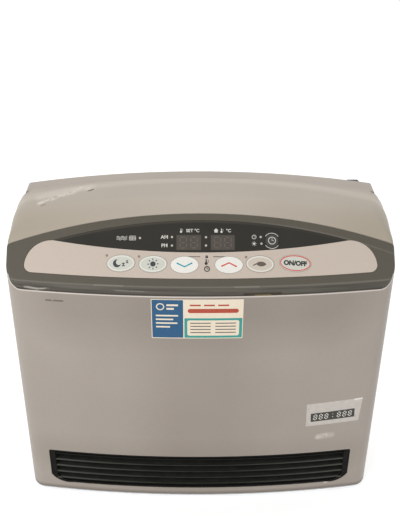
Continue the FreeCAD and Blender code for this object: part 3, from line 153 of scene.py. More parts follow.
def worn_mark(tree, place, colour, start, end, spread, fleck, shade, least, blend="MIX"):
    """Flecks of another shade along a straight stroke; its spread to each side and their size are in mm."""
    # A lower least value leaves fewer gaps between the flecks, and 0 leaves none
    reach = spread * MM
    run = Vector(end) - Vector(start)
    away = add_node(tree, "ShaderNodeVectorMath", {0: place, 1: start}, operation="SUBTRACT").outputs[0]
    along = add_node(tree, "ShaderNodeVectorMath", {0: away, 1: run / run.length_squared},
                     operation="DOT_PRODUCT").outputs["Value"]
    held = add_node(tree, "ShaderNodeClamp", {"Value": along}).outputs[0]
    foot = add_node(tree, "ShaderNodeVectorMath", {0: run, "Scale": held}, operation="SCALE").outputs[0]
    gap = add_node(tree, "ShaderNodeVectorMath", {0: away, 1: foot}, operation="DISTANCE").outputs["Value"]
    near = add_node(tree, "ShaderNodeMapRange", {"Value": gap, "From Min": reach, "From Max": 0.3 * reach})
    cloud = add_node(tree, "ShaderNodeTexNoise", {"Vector": place, "Scale": grain(fleck * MM), "Detail": 4.0})
    cut = add_node(tree, "ShaderNodeMapRange", {"Value": cloud.outputs["Fac"], "From Min": least,
                                                "From Max": least + 0.08})
    mask = add_node(tree, "ShaderNodeMath", {0: near.outputs["Result"], 1: cut.outputs["Result"]},
                    operation="MULTIPLY", use_clamp=True).outputs[0]
    return add_node(tree, "ShaderNodeMix", {0: mask, 6: colour, 7: linear(shade)},
                    data_type="RGBA", blend_type=blend).outputs[2]


def window_reach(tree, place):
    """How far across a point is, and how far up the slope from the middle of the window's upper arc."""
    uphill = Vector((0, math.cos(SLOPE), math.sin(SLOPE)))
    rise = add_node(tree, "ShaderNodeVectorMath", {0: place, 1: uphill},
                    operation="DOT_PRODUCT").outputs["Value"]
    x = add_node(tree, "ShaderNodeSeparateXYZ", {"Vector": place}).outputs["X"]
    spot = add_node(tree, "ShaderNodeCombineXYZ", {"X": x, "Y": rise}).outputs[0]
    middle = uphill.dot(Vector((0, FRONT_Y, SLOPE_FOOT))) + WINDOW_TOP - WINDOW_RADIUS
    reach = add_node(tree, "ShaderNodeVectorMath", {0: spot, 1: (0, middle, 0)},
                     operation="DISTANCE").outputs["Value"]
    return x, reach


# Materials

def cabinet_enamel():
    # Metallic beige enamel, sprayed and baked on sheet steel: a satin skin with fine flake, faint
    # cloudiness and slight orange peel. The flake is drawn about 1.2 mm across so that it shows.
    material, tree, skin, place = start_material("metallic_beige_enamel", {"IOR": 1.5})
    flake = mottle(tree, place, 1.2 * MM, "#9D9389", "#A99F95")
    colour = mottle(tree, place, 110 * MM, "#A0968C", "#A89E94", 1.0, flake)
    # Painted shade and reflection: a little darker over the outlet, up the middle and under the seam, for a
    # dark reflection in the middle of the bow and shade under the bezel
    for start, end, spread, shade in (((-0.2, -0.0745, 0.075), (0.2, -0.0745, 0.075), 40, "#F4F3F2"),
                                      ((0, FRONT_Y, 0.08), (0, FRONT_Y, 0.30), 110, "#F2F1F0"),
                                      ((-0.15, -0.08, 0.335), (0.15, -0.08, 0.335), 85, "#EAE9E8")):
        colour = worn_mark(tree, place, colour, start, end, spread, 60, shade, 0.0, "MULTIPLY")
    # Painted highlight along the folded top edge, where it catches the light
    x, _, z = add_node(tree, "ShaderNodeSeparateXYZ", {"Vector": place}).outputs
    out = add_node(tree, "ShaderNodeMath", {0: x}, operation="ABSOLUTE").outputs[0]
    past = add_node(tree, "ShaderNodeMath", {0: out, 1: SEAM_BEND_X}, operation="SUBTRACT").outputs[0]
    side = add_node(tree, "ShaderNodeMath", {0: past, 1: 0.0}, operation="MAXIMUM").outputs[0]
    drop = add_node(tree, "ShaderNodeMath", {0: z, 1: SEAM_BEND_Z}, operation="SUBTRACT").outputs[0]
    reach = add_node(tree, "ShaderNodeCombineXYZ", {"X": side, "Z": drop}).outputs[0]
    reach = add_node(tree, "ShaderNodeVectorMath", {0: reach}, operation="LENGTH").outputs["Value"]
    fold = add_node(tree, "ShaderNodeMapRange", {"Value": reach, "From Min": SEAM_BEND + 2.2 * MM,
                                                 "From Max": SEAM_BEND + 1.2 * MM}).outputs["Result"]
    colour = add_node(tree, "ShaderNodeMix", {0: fold, 6: colour, 7: linear("#D3CAC1")},
                      data_type="RGBA").outputs[2]
    # Painted shade: darker at the turned-in bottom edge, where it turns under
    hem = add_node(tree, "ShaderNodeMapRange", {"Value": z, "From Min": 16 * MM,
                                                "From Max": 11 * MM}).outputs["Result"]
    colour = add_node(tree, "ShaderNodeMix", {0: hem, 6: colour, 7: linear("#7C7269")},
                      data_type="RGBA").outputs[2]
    # Glue under the number label, a scuff under the seam, and a chip at the outlet's corner
    for mark in (((0.1590, -0.0777, 0.1080), (0.1765, -0.0757, 0.1096), 6.5, 14, "#B9B0A6", 0.30),
                 ((0.1580, -0.0777, 0.1075), (0.1690, -0.0766, 0.1096), 5, 6, "#C8BFB5", 0.42),
                 ((-0.1867, -0.0744, 0.3273), (-0.1665, -0.0769, 0.3275), 1.6, 5, "#60574C", 0.32),
                 ((0.1755, -0.0752, 0.0203), (0.1790, -0.0747, 0.0203), 2.5, 2, "#DDD6CC", 0.4)):
        colour = worn_mark(tree, place, colour, *mark)
    finish_skin(tree, skin, place, colour, 2.5 * MM, 0.36, 0.46, 0.02 * MM)
    return material


def cover_paint():
    # Satin beige paint on moulded ABS: even and soft, with a painted highlight along the rear edge and
    # painted shade that darkens and yellows the front corners. On the left a long hazy scrape ends in a dark
    # chip.
    material, tree, skin, place = start_material("satin_beige_painted_abs", {"IOR": 1.48})
    flake = mottle(tree, place, 1.2 * MM, "#B2A79A", "#BBB0A3")
    colour = mottle(tree, place, 120 * MM, "#B2A79A", "#BBB0A3", 1.0, flake)
    # The painted highlight along the rear edge follows an arc, 3 mm to each side in full and gone at 13 mm
    x, y, _ = add_node(tree, "ShaderNodeSeparateXYZ", {"Vector": place}).outputs
    level = add_node(tree, "ShaderNodeCombineXYZ", {"X": x, "Y": y}).outputs[0]
    reach = add_node(tree, "ShaderNodeVectorMath", {0: level, 1: (0, FOLD_HIGHLIGHT_Y - FOLD_HIGHLIGHT_RADIUS, 0)},
                     operation="DISTANCE").outputs["Value"]
    away = add_node(tree, "ShaderNodeMath", {0: reach, 1: FOLD_HIGHLIGHT_RADIUS}, operation="SUBTRACT").outputs[0]
    away = add_node(tree, "ShaderNodeMath", {0: away}, operation="ABSOLUTE").outputs[0]
    fold_highlight = add_node(tree, "ShaderNodeMapRange", {"Value": away, "From Min": 13 * MM,
                                                   "From Max": 3 * MM}).outputs["Result"]
    colour = add_node(tree, "ShaderNodeMix", {0: fold_highlight, 6: colour, 7: linear("#C3B8AB")},
                      data_type="RGBA").outputs[2]
    # Painted shade, darker and yellower, grows outwards and forwards over the front corners
    out = add_node(tree, "ShaderNodeMath", {0: x}, operation="ABSOLUTE").outputs[0]
    side = add_node(tree, "ShaderNodeMapRange", {"Value": out, "From Min": 60 * MM,
                                                 "From Max": 210 * MM}).outputs["Result"]
    front = add_node(tree, "ShaderNodeMapRange", {"Value": y, "From Min": 15 * MM,
                                                  "From Max": -25 * MM}).outputs["Result"]
    corner_shade = add_node(tree, "ShaderNodeMath", {0: side, 1: front}, operation="MULTIPLY").outputs[0]
    colour = add_node(tree, "ShaderNodeMix", {0: corner_shade, 6: colour, 7: linear("#A99F8F")},
                      data_type="RGBA").outputs[2]
    # The haze, the scrape in short runs with its flecks, the chip at its end, and a faint speck
    colour = worn_mark(tree, place, colour, (-0.2000, 0.0270, 0.4145), (-0.1400, 0.0430, 0.4212),
                       11, 18, "#CDC3B6", 0.28)
    scrape = [(-0.1984, 0.0100, 0.4147), (-0.1908, 0.0163, 0.4158), (-0.1858, 0.0177, 0.4163),
              (-0.1758, 0.0248, 0.4177), (-0.1608, 0.0309, 0.4193), (-0.1524, 0.0409, 0.4203),
              (-0.1418, 0.0373, 0.4213)]
    for start, end, spread in zip(scrape, scrape[1:], (6, 6, 7, 8, 7, 7)):
        colour = worn_mark(tree, place, colour, start, end, spread, 7, "#D3C9BC", 0.42)
        colour = worn_mark(tree, place, colour, start, end, 0.6 * spread, 4, "#E0D6C9", 0.52)
    for mark in (((-0.1402, 0.0300, 0.4215), (-0.1354, 0.0330, 0.4220), 2.4, 3, "#68574A", 0.3),
                 ((-0.1950, 0.0045, 0.4138), (-0.1922, 0.0058, 0.4142), 3.0, 4, "#9C9083", 0.3)):
        colour = worn_mark(tree, place, colour, *mark)
    finish_skin(tree, skin, place, colour, 2.0 * MM, 0.38, 0.48, 0.02 * MM)
    return material


def rear_paint():
    # Satin beige paint on pressed steel: like the cover, a little greyer and cloudier.
    material, tree, skin, place = start_material("satin_beige_painted_steel", {"IOR": 1.5})
    flake = mottle(tree, place, 1.5 * MM, "#AFA49A", "#B8AEA3")
    colour = mottle(tree, place, 140 * MM, "#AA9F94", "#B9AFA4", 2.0, flake)
    finish_skin(tree, skin, place, colour, 2.0 * MM, 0.42, 0.52, 0.02 * MM)
    return material


def bezel_abs():
    # Olive-grey ABS from a spark-eroded mould: fine satin grain, with a painted highlight along the nose. The
    # upright band under the slope is painted darker as shade, with level streaks that are partly smears and
    # partly painted sheen, a painted shadow at its foot, painted sheen on tape and a dark mark at the left,
    # and a brown stain in one place.
    material, tree, skin, place = start_material("olive_grey_abs", {"IOR": 1.5, "Specular IOR Level": 0.35})
    colour = mottle(tree, place, 1.0 * MM, "#514C41", "#5A554A")
    # Painted highlight on the lip over the window, on the right
    x, reach = window_reach(tree, place)
    lip_highlight = add_node(tree, "ShaderNodeMath", {0: reach, 1: WINDOW_RADIUS + 1.2 * MM, 2: 1.0 * MM},
                   operation="COMPARE").outputs[0]
    right = add_node(tree, "ShaderNodeMapRange", {"Value": x, "From Min": 50 * MM,
                                                  "From Max": 110 * MM}).outputs["Result"]
    lip_highlight = add_node(tree, "ShaderNodeMath", {0: lip_highlight, 1: right}, operation="MULTIPLY").outputs[0]
    colour = add_node(tree, "ShaderNodeMix", {0: lip_highlight, 6: colour, 7: linear("#645F55")},
                      data_type="RGBA").outputs[2]
    # The upright band is painted darker as shade, with level streaks about 110 mm long and 3 mm high that are
    # partly smears and partly painted sheen; above it the nose has a painted highlight and below it the foot
    # a painted shadow
    level = add_node(tree, "ShaderNodeMapping", {"Vector": place, "Scale": (9.0, 60.0, 330.0)}).outputs[0]
    streak = add_node(tree, "ShaderNodeTexNoise", {"Vector": level, "Scale": 1.0, "Detail": 3.0})
    shades = add_node(tree, "ShaderNodeValToRGB", {"Fac": streak.outputs["Fac"]})
    shades.color_ramp.elements[0].position = 0.36
    shades.color_ramp.elements[1].position = 0.66
    shades.color_ramp.elements[0].color = linear("#423E37")
    shades.color_ramp.elements[1].color = linear("#5E5A51")
    height = add_node(tree, "ShaderNodeSeparateXYZ", {"Vector": place}).outputs["Z"]
    band = add_node(tree, "ShaderNodeMapRange", {"Value": height, "From Min": BAND_TOP,
                                                 "From Max": BAND_TOP - BAND_FADE}).outputs["Result"]
    colour = add_node(tree, "ShaderNodeMix", {0: band, 6: colour, 7: shades.outputs["Color"]},
                      data_type="RGBA").outputs[2]
    # Painted highlight along the nose
    nose_highlight = add_node(tree, "ShaderNodeMath", {0: height, 1: NOSE_HIGHLIGHT_Z, 2: 0.7 * MM},
                    operation="COMPARE").outputs[0]
    colour = add_node(tree, "ShaderNodeMix", {0: nose_highlight, 6: colour, 7: linear("#6B675D")},
                      data_type="RGBA").outputs[2]
    # Painted shadow at the band's foot, over the seam
    foot = add_node(tree, "ShaderNodeMapRange", {"Value": height, "From Min": FOOT_SHADOW_TOP,
                                                 "From Max": FOOT_SHADOW_TOP - FOOT_SHADOW_FADE}).outputs["Result"]
    colour = add_node(tree, "ShaderNodeMix", {0: foot, 6: colour, 7: linear("#3B362D")},
                      data_type="RGBA").outputs[2]
    # At the left painted sheen on clear tape and a dark mark, the brown stain with its yellow foot, and pale
    # streaks along the nose and band that are painted highlights
    for mark in (((-0.2107, -0.0711, 0.3445), (-0.1962, -0.0732, 0.3428), 2.2, 7, "#9F9B91", 0.34),
                 ((-0.1962, -0.0732, 0.3428), (-0.1830, -0.0748, 0.3444), 1.6, 7, "#9F9B91", 0.34),
                 ((-0.2172, -0.0701, 0.3413), (-0.2000, -0.0727, 0.3404), 1.5, 6, "#352C22", 0.30),
                 ((0.0520, -0.0855, 0.3424), (0.0940, -0.0834, 0.3428), 3.0, 8, "#2E2213", 0.3),
                 ((0.0645, -0.0851, 0.3406), (0.0825, -0.0841, 0.3408), 1.8, 9, "#7C6B40", 0.3),
                 ((-0.127, -0.0790, NOSE_HIGHLIGHT_Z), (-0.093, -0.0816, NOSE_HIGHLIGHT_Z), 1.4, 9, "#7B776E", 0.34),
                 ((-0.105, -0.0827, 0.3468), (-0.064, -0.0851, 0.3462), 1.2, 9, "#77736A", 0.34),
                 ((0.0400, -0.0841, NOSE_HIGHLIGHT_Z), (0.0680, -0.0830, NOSE_HIGHLIGHT_Z), 1.4, 9, "#7B776E", 0.34)):
        colour = worn_mark(tree, place, colour, *mark)
    finish_skin(tree, skin, place, colour, 0.8 * MM, 0.40, 0.50, 0.03 * MM)
    return material


def moulded_abs(name, dark, light, rough=(0.36, 0.46), size=1.0 * MM):
    # Self-coloured ABS, moulded against a fine satin tool: even colour, soft sheen.
    material, tree, skin, place = start_material(name, {"IOR": 1.5})
    colour = mottle(tree, place, size, dark, light)
    finish_skin(tree, skin, place, colour, 0.8 * MM, *rough, 0.015 * MM)
    return material


def smoked_acrylic():
    # Smoked acrylic pane over dark printing: deep and smooth, with faint wiping marks that soften what it
    # mirrors. A paler margin along the upper edge, most of all on the left, is painted light for the bezel's
    # soft roll down into the window.
    shader = {"IOR": 1.49, "Specular IOR Level": 0.25}
    material, tree, skin, place = start_material("smoked_acrylic", shader)
    colour = mottle(tree, place, 60 * MM, "#282620", "#2E2C26", 2.0)
    x, reach = window_reach(tree, place)
    # Painted light: paler towards the upper edge
    margin = add_node(tree, "ShaderNodeMapRange", {"Value": reach, "From Min": WINDOW_RADIUS - 3.5 * MM,
                                                   "From Max": WINDOW_RADIUS}).outputs["Result"]
    left = add_node(tree, "ShaderNodeMapRange", {"Value": x, "From Min": 110 * MM, "From Max": 20 * MM,
                                                 "To Min": 0.3}).outputs["Result"]
    margin = add_node(tree, "ShaderNodeMath", {0: margin, 1: left}, operation="MULTIPLY").outputs[0]
    colour = add_node(tree, "ShaderNodeMix", {0: margin, 6: colour, 7: linear("#4A463D")},
                      data_type="RGBA").outputs[2]
    finish_skin(tree, skin, place, colour, 25 * MM, 0.24, 0.34, 0.0)
    return material


def heatproof_black():
    # Heat-proof black paint on sheet metal: matt, and paler behind the front as painted light in the slots'
    # shade. The front edges of the lower vanes are paler, more so towards their ends, partly with dust and
    # partly as a painted highlight; the top vane stays dark as painted shadow under the outlet's lip.
    shader = {"IOR": 1.45, "Specular IOR Level": 0.08}
    material, tree, skin, place = start_material("heatproof_black_paint", shader)
    paint = mottle(tree, place, 14 * MM, "#121211", "#1A1A18", 4.0)
    # Painted light: the paint behind the front edge is paler, lifting the shade in the slots
    inside = mottle(tree, place, 14 * MM, "#2B2B28", "#363633", 4.0)
    # Dust and painted highlight on the vanes' front edges, paler towards their ends
    dust_and_highlight = mottle(tree, place, 20 * MM, "#252522", "#30302C", 4.0)
    x, y, z = add_node(tree, "ShaderNodeSeparateXYZ", {"Vector": place}).outputs
    out = add_node(tree, "ShaderNodeMath", {0: x}, operation="ABSOLUTE").outputs[0]
    ends = add_node(tree, "ShaderNodeMapRange", {"Value": out, "From Min": DUST_AND_HIGHLIGHT_X,
                                                 "From Max": VANE_END}).outputs["Result"]
    dust_and_highlight = add_node(tree, "ShaderNodeMix", {0: ends, 6: dust_and_highlight, 7: linear("#4F4F4A")},
                    data_type="RGBA").outputs[2]
    level = add_node(tree, "ShaderNodeCombineXYZ", {"X": x, "Y": y}).outputs[0]
    reach = add_node(tree, "ShaderNodeVectorMath", {0: level, 1: (0, FRONT_Y + BOW_RADIUS, 0)},
                     operation="DISTANCE").outputs["Value"]
    front = add_node(tree, "ShaderNodeMath", {0: reach, 1: BOW_RADIUS - VANE_EDGE},
                     operation="GREATER_THAN").outputs[0]
    colour = add_node(tree, "ShaderNodeMix", {0: front, 6: inside, 7: paint}, data_type="RGBA").outputs[2]
    # Each vane's height folds to the lowest one's
    fold = {0: z, 1: VANE_LOW + VANE_PITCH / 2, 2: VANE_LOW - VANE_PITCH / 2}
    folded = add_node(tree, "ShaderNodeMath", fold, operation="WRAP").outputs[0]
    edge = add_node(tree, "ShaderNodeMath", {0: folded, 1: VANE_LOW, 2: 1.1 * MM},
                    operation="COMPARE").outputs[0]
    dust_and_highlight_mask = add_node(tree, "ShaderNodeMath", {0: front, 1: edge}, operation="MULTIPLY").outputs[0]
    # Only within the vanes' ends and below the top vane, which stays dark as painted shadow
    for value, limit in ((out, VANE_END), (z, DUST_AND_HIGHLIGHT_BELOW)):
        within = add_node(tree, "ShaderNodeMath", {0: value, 1: limit}, operation="LESS_THAN").outputs[0]
        dust_and_highlight_mask = add_node(tree, "ShaderNodeMath", {0: dust_and_highlight_mask, 1: within}, operation="MULTIPLY").outputs[0]
    colour = add_node(tree, "ShaderNodeMix", {0: dust_and_highlight_mask, 6: colour, 7: dust_and_highlight}, data_type="RGBA").outputs[2]
    finish_skin(tree, skin, place, colour, 1.0 * MM, 0.42, 0.58, 0.03 * MM)
    return material


def galvanised_sheet():
    # Hot-dip galvanised sheet: metal with flat crystal spangles about 9 mm across.
    material, tree, skin, place = start_material("galvanised_sheet", {"Metallic": 1.0})
    spangle = add_node(tree, "ShaderNodeTexVoronoi", {"Vector": place, "Scale": grain(9 * MM)})
    ramp = add_node(tree, "ShaderNodeValToRGB", {"Fac": spangle.outputs["Color"]})
    ramp.color_ramp.elements[0].color = linear("#A9ABAD")
    ramp.color_ramp.elements[1].color = linear("#C6C8CA")
    tree.links.new(ramp.outputs["Color"], skin.inputs["Base Color"])
    span = add_node(tree, "ShaderNodeMapRange", {"Value": spangle.outputs["Distance"], "To Min": 0.32,
                                                 "To Max": 0.5})
    tree.links.new(span.outputs["Result"], skin.inputs["Roughness"])
    return material


def bare_metal(name, dark, light, rough, size, stretch=(1.0, 1.0, 1.0)):
    # Bare metal with the marks of its making: drawn, turned or rolled lines, or a cast skin.
    material, tree, skin, place = start_material(name, {"Metallic": 1.0})
    drawn = add_node(tree, "ShaderNodeMapping", {"Vector": place, "Scale": stretch}).outputs[0]
    colour = mottle(tree, drawn, size, dark, light)
    finish_skin(tree, skin, drawn, colour, size, rough - 0.06, rough + 0.06, 0.02 * MM)
    return material


def soft_rubber():
    # Black rubber: matt, a little grey where it has dried.
    material, tree, skin, place = start_material("black_rubber", {"IOR": 1.5})
    colour = mottle(tree, place, 3 * MM, "#191919", "#232322")
    finish_skin(tree, skin, place, colour, 1.0 * MM, 0.7, 0.85, 0.04 * MM)
    return material


def lacquered_board(name, blocks_x=None):
    # Glass-fibre board under green lacquer: copper tracks show as lighter lines about 4 mm apart. Blocks that
    # stand out on its left, past blocks_x, are black, grey and buff moulded parts.
    material, tree, skin, place = start_material(name, {"IOR": 1.52})
    turned = add_node(tree, "ShaderNodeMapping", {"Vector": place, "Rotation": (0.3, 0.2, 0.785)}).outputs[0]
    track = add_node(tree, "ShaderNodeTexWave", {"Vector": turned, "Scale": grain(12 * MM),
                                                 "Distortion": 6.0})
    ramp = add_node(tree, "ShaderNodeValToRGB", {"Fac": track.outputs["Fac"]})
    ramp.color_ramp.elements[0].color = linear("#1F5A34")
    ramp.color_ramp.elements[1].color = linear("#2F7746")
    colour = ramp.outputs["Color"]
    if blocks_x is not None:
        part = add_node(tree, "ShaderNodeTexVoronoi", {"Vector": place, "Scale": grain(45 * MM)})
        shades = add_node(tree, "ShaderNodeValToRGB", {"Fac": part.outputs["Color"]})
        shades.color_ramp.elements[0].color = linear("#1C1D20")
        shades.color_ramp.elements[1].color = linear("#A39A86")
        x = add_node(tree, "ShaderNodeSeparateXYZ", {"Vector": place}).outputs["X"]
        past = add_node(tree, "ShaderNodeMath", {0: x, 1: blocks_x}, operation="LESS_THAN").outputs[0]
        colour = add_node(tree, "ShaderNodeMix", {0: past, 6: colour, 7: shades.outputs["Color"]},
                          data_type="RGBA").outputs[2]
    finish_skin(tree, skin, place, colour, 2 * MM, 0.3, 0.42, 0.02 * MM)
    return material


def filter_net():
    # Woven nylon net in a moulded frame: fine square mesh, drawn 2 mm apart so that it shows.
    material, tree, skin, place = start_material("nylon_filter_net", {"IOR": 1.5, "Roughness": 0.6})
    x, _, z = add_node(tree, "ShaderNodeSeparateXYZ", {"Vector": place}).outputs
    waves = []
    for across in (x, z):
        turn = add_node(tree, "ShaderNodeMath", {0: across, 1: math.tau / (2 * MM)}, operation="MULTIPLY")
        waves.append(add_node(tree, "ShaderNodeMath", {0: turn.outputs[0]}, operation="SINE").outputs[0])
    net = add_node(tree, "ShaderNodeMath", {0: waves[0], 1: waves[1]}, operation="MAXIMUM").outputs[0]
    ramp = add_node(tree, "ShaderNodeValToRGB", {"Fac": net})
    ramp.color_ramp.elements[0].position = 0.35
    ramp.color_ramp.elements[1].position = 0.8
    ramp.color_ramp.elements[0].color = linear("#2A2A28")
    ramp.color_ramp.elements[1].color = linear("#4A4A47")
    tree.links.new(ramp.outputs["Color"], skin.inputs["Base Color"])
    relief = add_node(tree, "ShaderNodeBump", {"Height": net, "Distance": 0.3 * MM, "Strength": 0.6})
    tree.links.new(relief.outputs["Normal"], skin.inputs["Normal"])
    return material


def printing_ink(name, dark, light):
    # Screen-printed ink: thin, matt, slightly uneven.
    material, tree, skin, place = start_material(name, {"IOR": 1.45, "Specular IOR Level": 0.3})
    colour = mottle(tree, place, 1.5 * MM, dark, light)
    finish_skin(tree, skin, place, colour, 0.6 * MM, 0.45, 0.6, 0.005 * MM)
    return material


def dress(material, *names):
    """Give a finish to nodes of the solid model."""
    for name in names:
        nodes[name].data.materials.clear()
        nodes[name].data.materials.append(material)


pale_cap = moulded_abs("pale_grey_abs_caps", "#C9C9BE", "#D3D3C8")
white_cap = moulded_abs("white_abs_caps", "#E6E4DC", "#EFEDE6")
beige_cap = moulded_abs("beige_abs_cap", "#C8BDAF", "#D1C6B8")
dark_abs = moulded_abs("dark_grey_abs", "#302F2B", "#3A3934")
offwhite_abs = moulded_abs("off_white_abs", "#C8C7BF", "#D3D2CA")
black_abs = moulded_abs("black_abs", "#1B1B1B", "#242424")
steel = galvanised_sheet()
brass = bare_metal("machined_brass", "#B08A45", "#C29C58", 0.3, 0.8 * MM, (1.0, 8.0, 1.0))
blocks_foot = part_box("main_board")[0].x + BLOCK_HIGH

dress(cabinet_enamel(), "front_panel")
dress(cover_paint(), "top_cover")
dress(rear_paint(), "rear_panel")
dress(bezel_abs(), "control_bezel")
dress(moulded_abs("pale_beige_abs", "#C3B5A8", "#CBBDB0"), "control_fascia")
dress(smoked_acrylic(), "display_window")
dress(pale_cap, "sleep_button", "morning_button", "power_button")
dress(white_cap, "down_button", "up_button")
dress(beige_cap, "save_button")
dress(dark_abs, "time_set_button", "room_sensor", "filter_rails", "digit_displays")
dress(lacquered_board("lacquered_key_board"), "control_board")
dress(lacquered_board("lacquered_main_board", blocks_foot - 0.2 * MM), "main_board")
dress(black_abs, "tact_switches", "overheat_thermostat", "inlet_cup")
dress(heatproof_black(), "outlet_grille")
dress(steel, "base_tray", "outlet_duct", "fan_casing")
dress(bare_metal("aluminised_sheet", "#A8A9A8", "#BBBCBB", 0.42, 3 * MM), "combustion_chamber", "heat_shield")
dress(bare_metal("heat_tinted_stainless", "#8C8378", "#A79F94", 0.34, 20 * MM), "burner")
dress(bare_metal("zinc_plated_steel", "#B4B4AE", "#C4C4BE", 0.3, 0.5 * MM), "rear_screws")
dress(bare_metal("ground_steel", "#B0B1B3", "#C2C3C5", 0.22, 0.3 * MM, (20.0, 1.0, 1.0)), "fan_shaft")
dress(bare_metal("rolled_aluminium", "#B9BABB", "#CACBCC", 0.32, 0.6 * MM, (0.1, 1.0, 1.0)), "fan_rotor")
dress(bare_metal("cast_aluminium", "#A3A4A4", "#B4B5B5", 0.5, 1.5 * MM), "gas_valve")
dress(brass, "shaft_bearing", "gas_manifold", "gas_pipe", "inlet_pipe", "gas_inlet", "tip_pendulum")
dress(moulded_abs("black_enamelled_steel", "#1E1F20", "#292A2B", (0.25, 0.35)), "fan_motor")
dress(moulded_abs("glazed_white_ceramic", "#DEDCD4", "#E8E6DE", (0.15, 0.25)), "igniter", "flame_sensor")
dress(offwhite_abs, "board_bracket", "spark_unit", "tip_over_switch")
dress(moulded_abs("varnished_laminations", "#3A332B", "#4A4238", (0.35, 0.5), 2 * MM), "transformer")
dress(soft_rubber(), "feet", "cord_gland")
dress(filter_net(), "air_filter")


# Flat shapes, drawn in millimetres in the XY plane and laid on the heater afterwards

def oblong(bm, left, low, right, high, corner=0.0):
    """A rectangle, with round corners where a corner radius is given."""
    spread = Matrix.Diagonal((right - left, high - low, 1, 1))
    spot = Matrix.Translation(((left + right) / 2, (low + high) / 2, 0))
    made = bmesh.ops.create_grid(bm, x_segments=1, y_segments=1, size=0.5, matrix=spot @ spread)
    if corner:
        bmesh.ops.bevel(bm, geom=made["verts"], offset=corner, segments=5, profile=0.5, affect="VERTICES",
                        material=-1)


def disc(bm, x, y, across, up=None):
    """A disc or an ellipse."""
    spot = Matrix.Translation((x, y, 0)) @ Matrix.Diagonal((across, up or across, 1, 1))
    made = bmesh.ops.create_circle(bm, cap_ends=True, segments=48, radius=1.0, matrix=spot)
    return made["verts"][0].link_faces[0]


def ring(bm, x, y, across, up, width):
    """An ellipse's rim of even width."""
    face = disc(bm, x, y, across, up)
    bmesh.ops.inset_individual(bm, faces=[face], thickness=width, use_even_offset=True)
    bmesh.ops.delete(bm, geom=[face], context="FACES")


def outline(bm, points):
    """A filled shape inside a closed line of points."""
    corners = [bm.verts.new((x, y, 0)) for x, y in points]
    edges = [bm.edges.new(pair) for pair in zip(corners, corners[1:] + corners[:1])]
    face = bmesh.ops.edgeloop_fill(bm, edges=edges)["faces"][0]
    face.normal_update()
    if face.normal.z < 0:
        face.normal_flip()


def flat_mesh(bm, curve):
    """Add a text or curve to the drawing as a mesh."""
    holder = bpy.data.objects.new("holder", curve)
    mesh = bpy.data.meshes.new_from_object(holder)
    bm.from_mesh(mesh)
    bpy.data.objects.remove(holder)
    bpy.data.curves.remove(curve)
    bpy.data.meshes.remove(mesh)


def lettering(bm, words, x, y, size, weight=0.03):
    """Plain letters, centred on a point; weight is how much their strokes swell, as a share of the size."""
    curve = bpy.data.curves.new("letters", "FONT")
    curve.body = words
    curve.size = size
    curve.offset = weight * size
    curve.align_x = "CENTER"
    curve.align_y = "CENTER"
    known = set(bm.verts)
    flat_mesh(bm, curve)
    bmesh.ops.translate(bm, verts=[v for v in bm.verts if v not in known], vec=(x, y, 0))


def stroke(bm, top, points, width):
    """A raised line of even width through the points."""
    curve = bpy.data.curves.new("line", "CURVE")
    curve.dimensions = "3D"
    curve.bevel_depth = width / 2
    curve.bevel_resolution = 2
    curve.use_fill_caps = True
    spline = curve.splines.new("POLY")
    spline.points.add(len(points) - 1)
    for point, (x, y) in zip(spline.points, points):
        point.co = (x, y, 0, 1)
    known = set(bm.verts)
    flat_mesh(bm, curve)
    fresh = [v for v in bm.verts if v not in known]
    bmesh.ops.scale(bm, verts=fresh, vec=(1, 1, 2 * top / width))
    bmesh.ops.remove_doubles(bm, verts=fresh, dist=0.0005)


def arc_points(x, y, radius, start, end, count=14):
    """Points along an arc between two angles in degrees."""
    angles = [math.radians(start + (end - start) * i / (count - 1)) for i in range(count)]
    return [(x + radius * math.cos(a), y + radius * math.sin(a)) for a in angles]


# Signs on the panel, as lists of marks: a shape's function and its sizes

def moon_sign(x, y, r):
    lean = math.radians(30)
    inner = (x + 0.55 * r * math.cos(lean), y + 0.55 * r * math.sin(lean))
    back = arc_points(x, y, r, 75, 345, 24)
    return [(outline, back + arc_points(*inner, 0.724 * r, 312.5, 107.5, 20)[1:-1])]


def sun_sign(x, y, r, width):
    rays = []
    for i in range(8):
        a = math.tau * i / 8
        ray = [(x + k * r * math.cos(a), y + k * r * math.sin(a)) for k in (0.72, 1.0)]
        rays.append((stroke, ray, width))
    return [(disc, x, y, 0.48 * r)] + rays


def clock_sign(x, y, r, width):
    hands = [(x, y + 0.62 * r), (x, y), (x + 0.5 * r, y)]
    return [(ring, x, y, r, r, width), (stroke, hands, width)]


def thermometer_sign(x, y, tall, width):
    low = y - tall / 2
    bulb = (disc, x, low + 1.3 * width, 1.3 * width)
    stem = (stroke, [(x, low + 2 * width), (x, y + tall / 2)], width)
    ticks = [(stroke, [(x + 1.3 * width, z), (x + 2.3 * width, z)], 0.6 * width) for z in (y, y + 0.3 * tall)]
    return [bulb, stem] + ticks


def leaf_sign(x, y, r):
    lens = arc_points(x, y - 0.64 * r, r, 40, 140) + arc_points(x, y + 0.64 * r, r, 220, 320)
    return [(outline, lens), (stroke, [(x - 1.15 * r, y - 0.25 * r), (x - 0.7 * r, y)], 0.16 * r)]


def net_sign(x, y, wide, tall, width):
    lines = [[(x - wide / 2, y + tall * k), (x + wide / 2, y + tall * k)] for k in (-0.5, -0.17, 0.17, 0.5)]
    lines += [[(x + wide * k, y - tall / 2), (x + wide * k, y + tall / 2)]
              for k in (-0.5, -0.25, 0, 0.25, 0.5)]
    return [(stroke, line, width) for line in lines]


def house_sign(x, y, r):
    half = [(0.7, -0.8), (0.7, 0.1), (1.0, 0.1)]
    shape = half + [(0.0, 1.0)] + [(-across, up) for across, up in reversed(half)]
    return [(outline, [(x + r * across, y + r * up) for across, up in shape])]


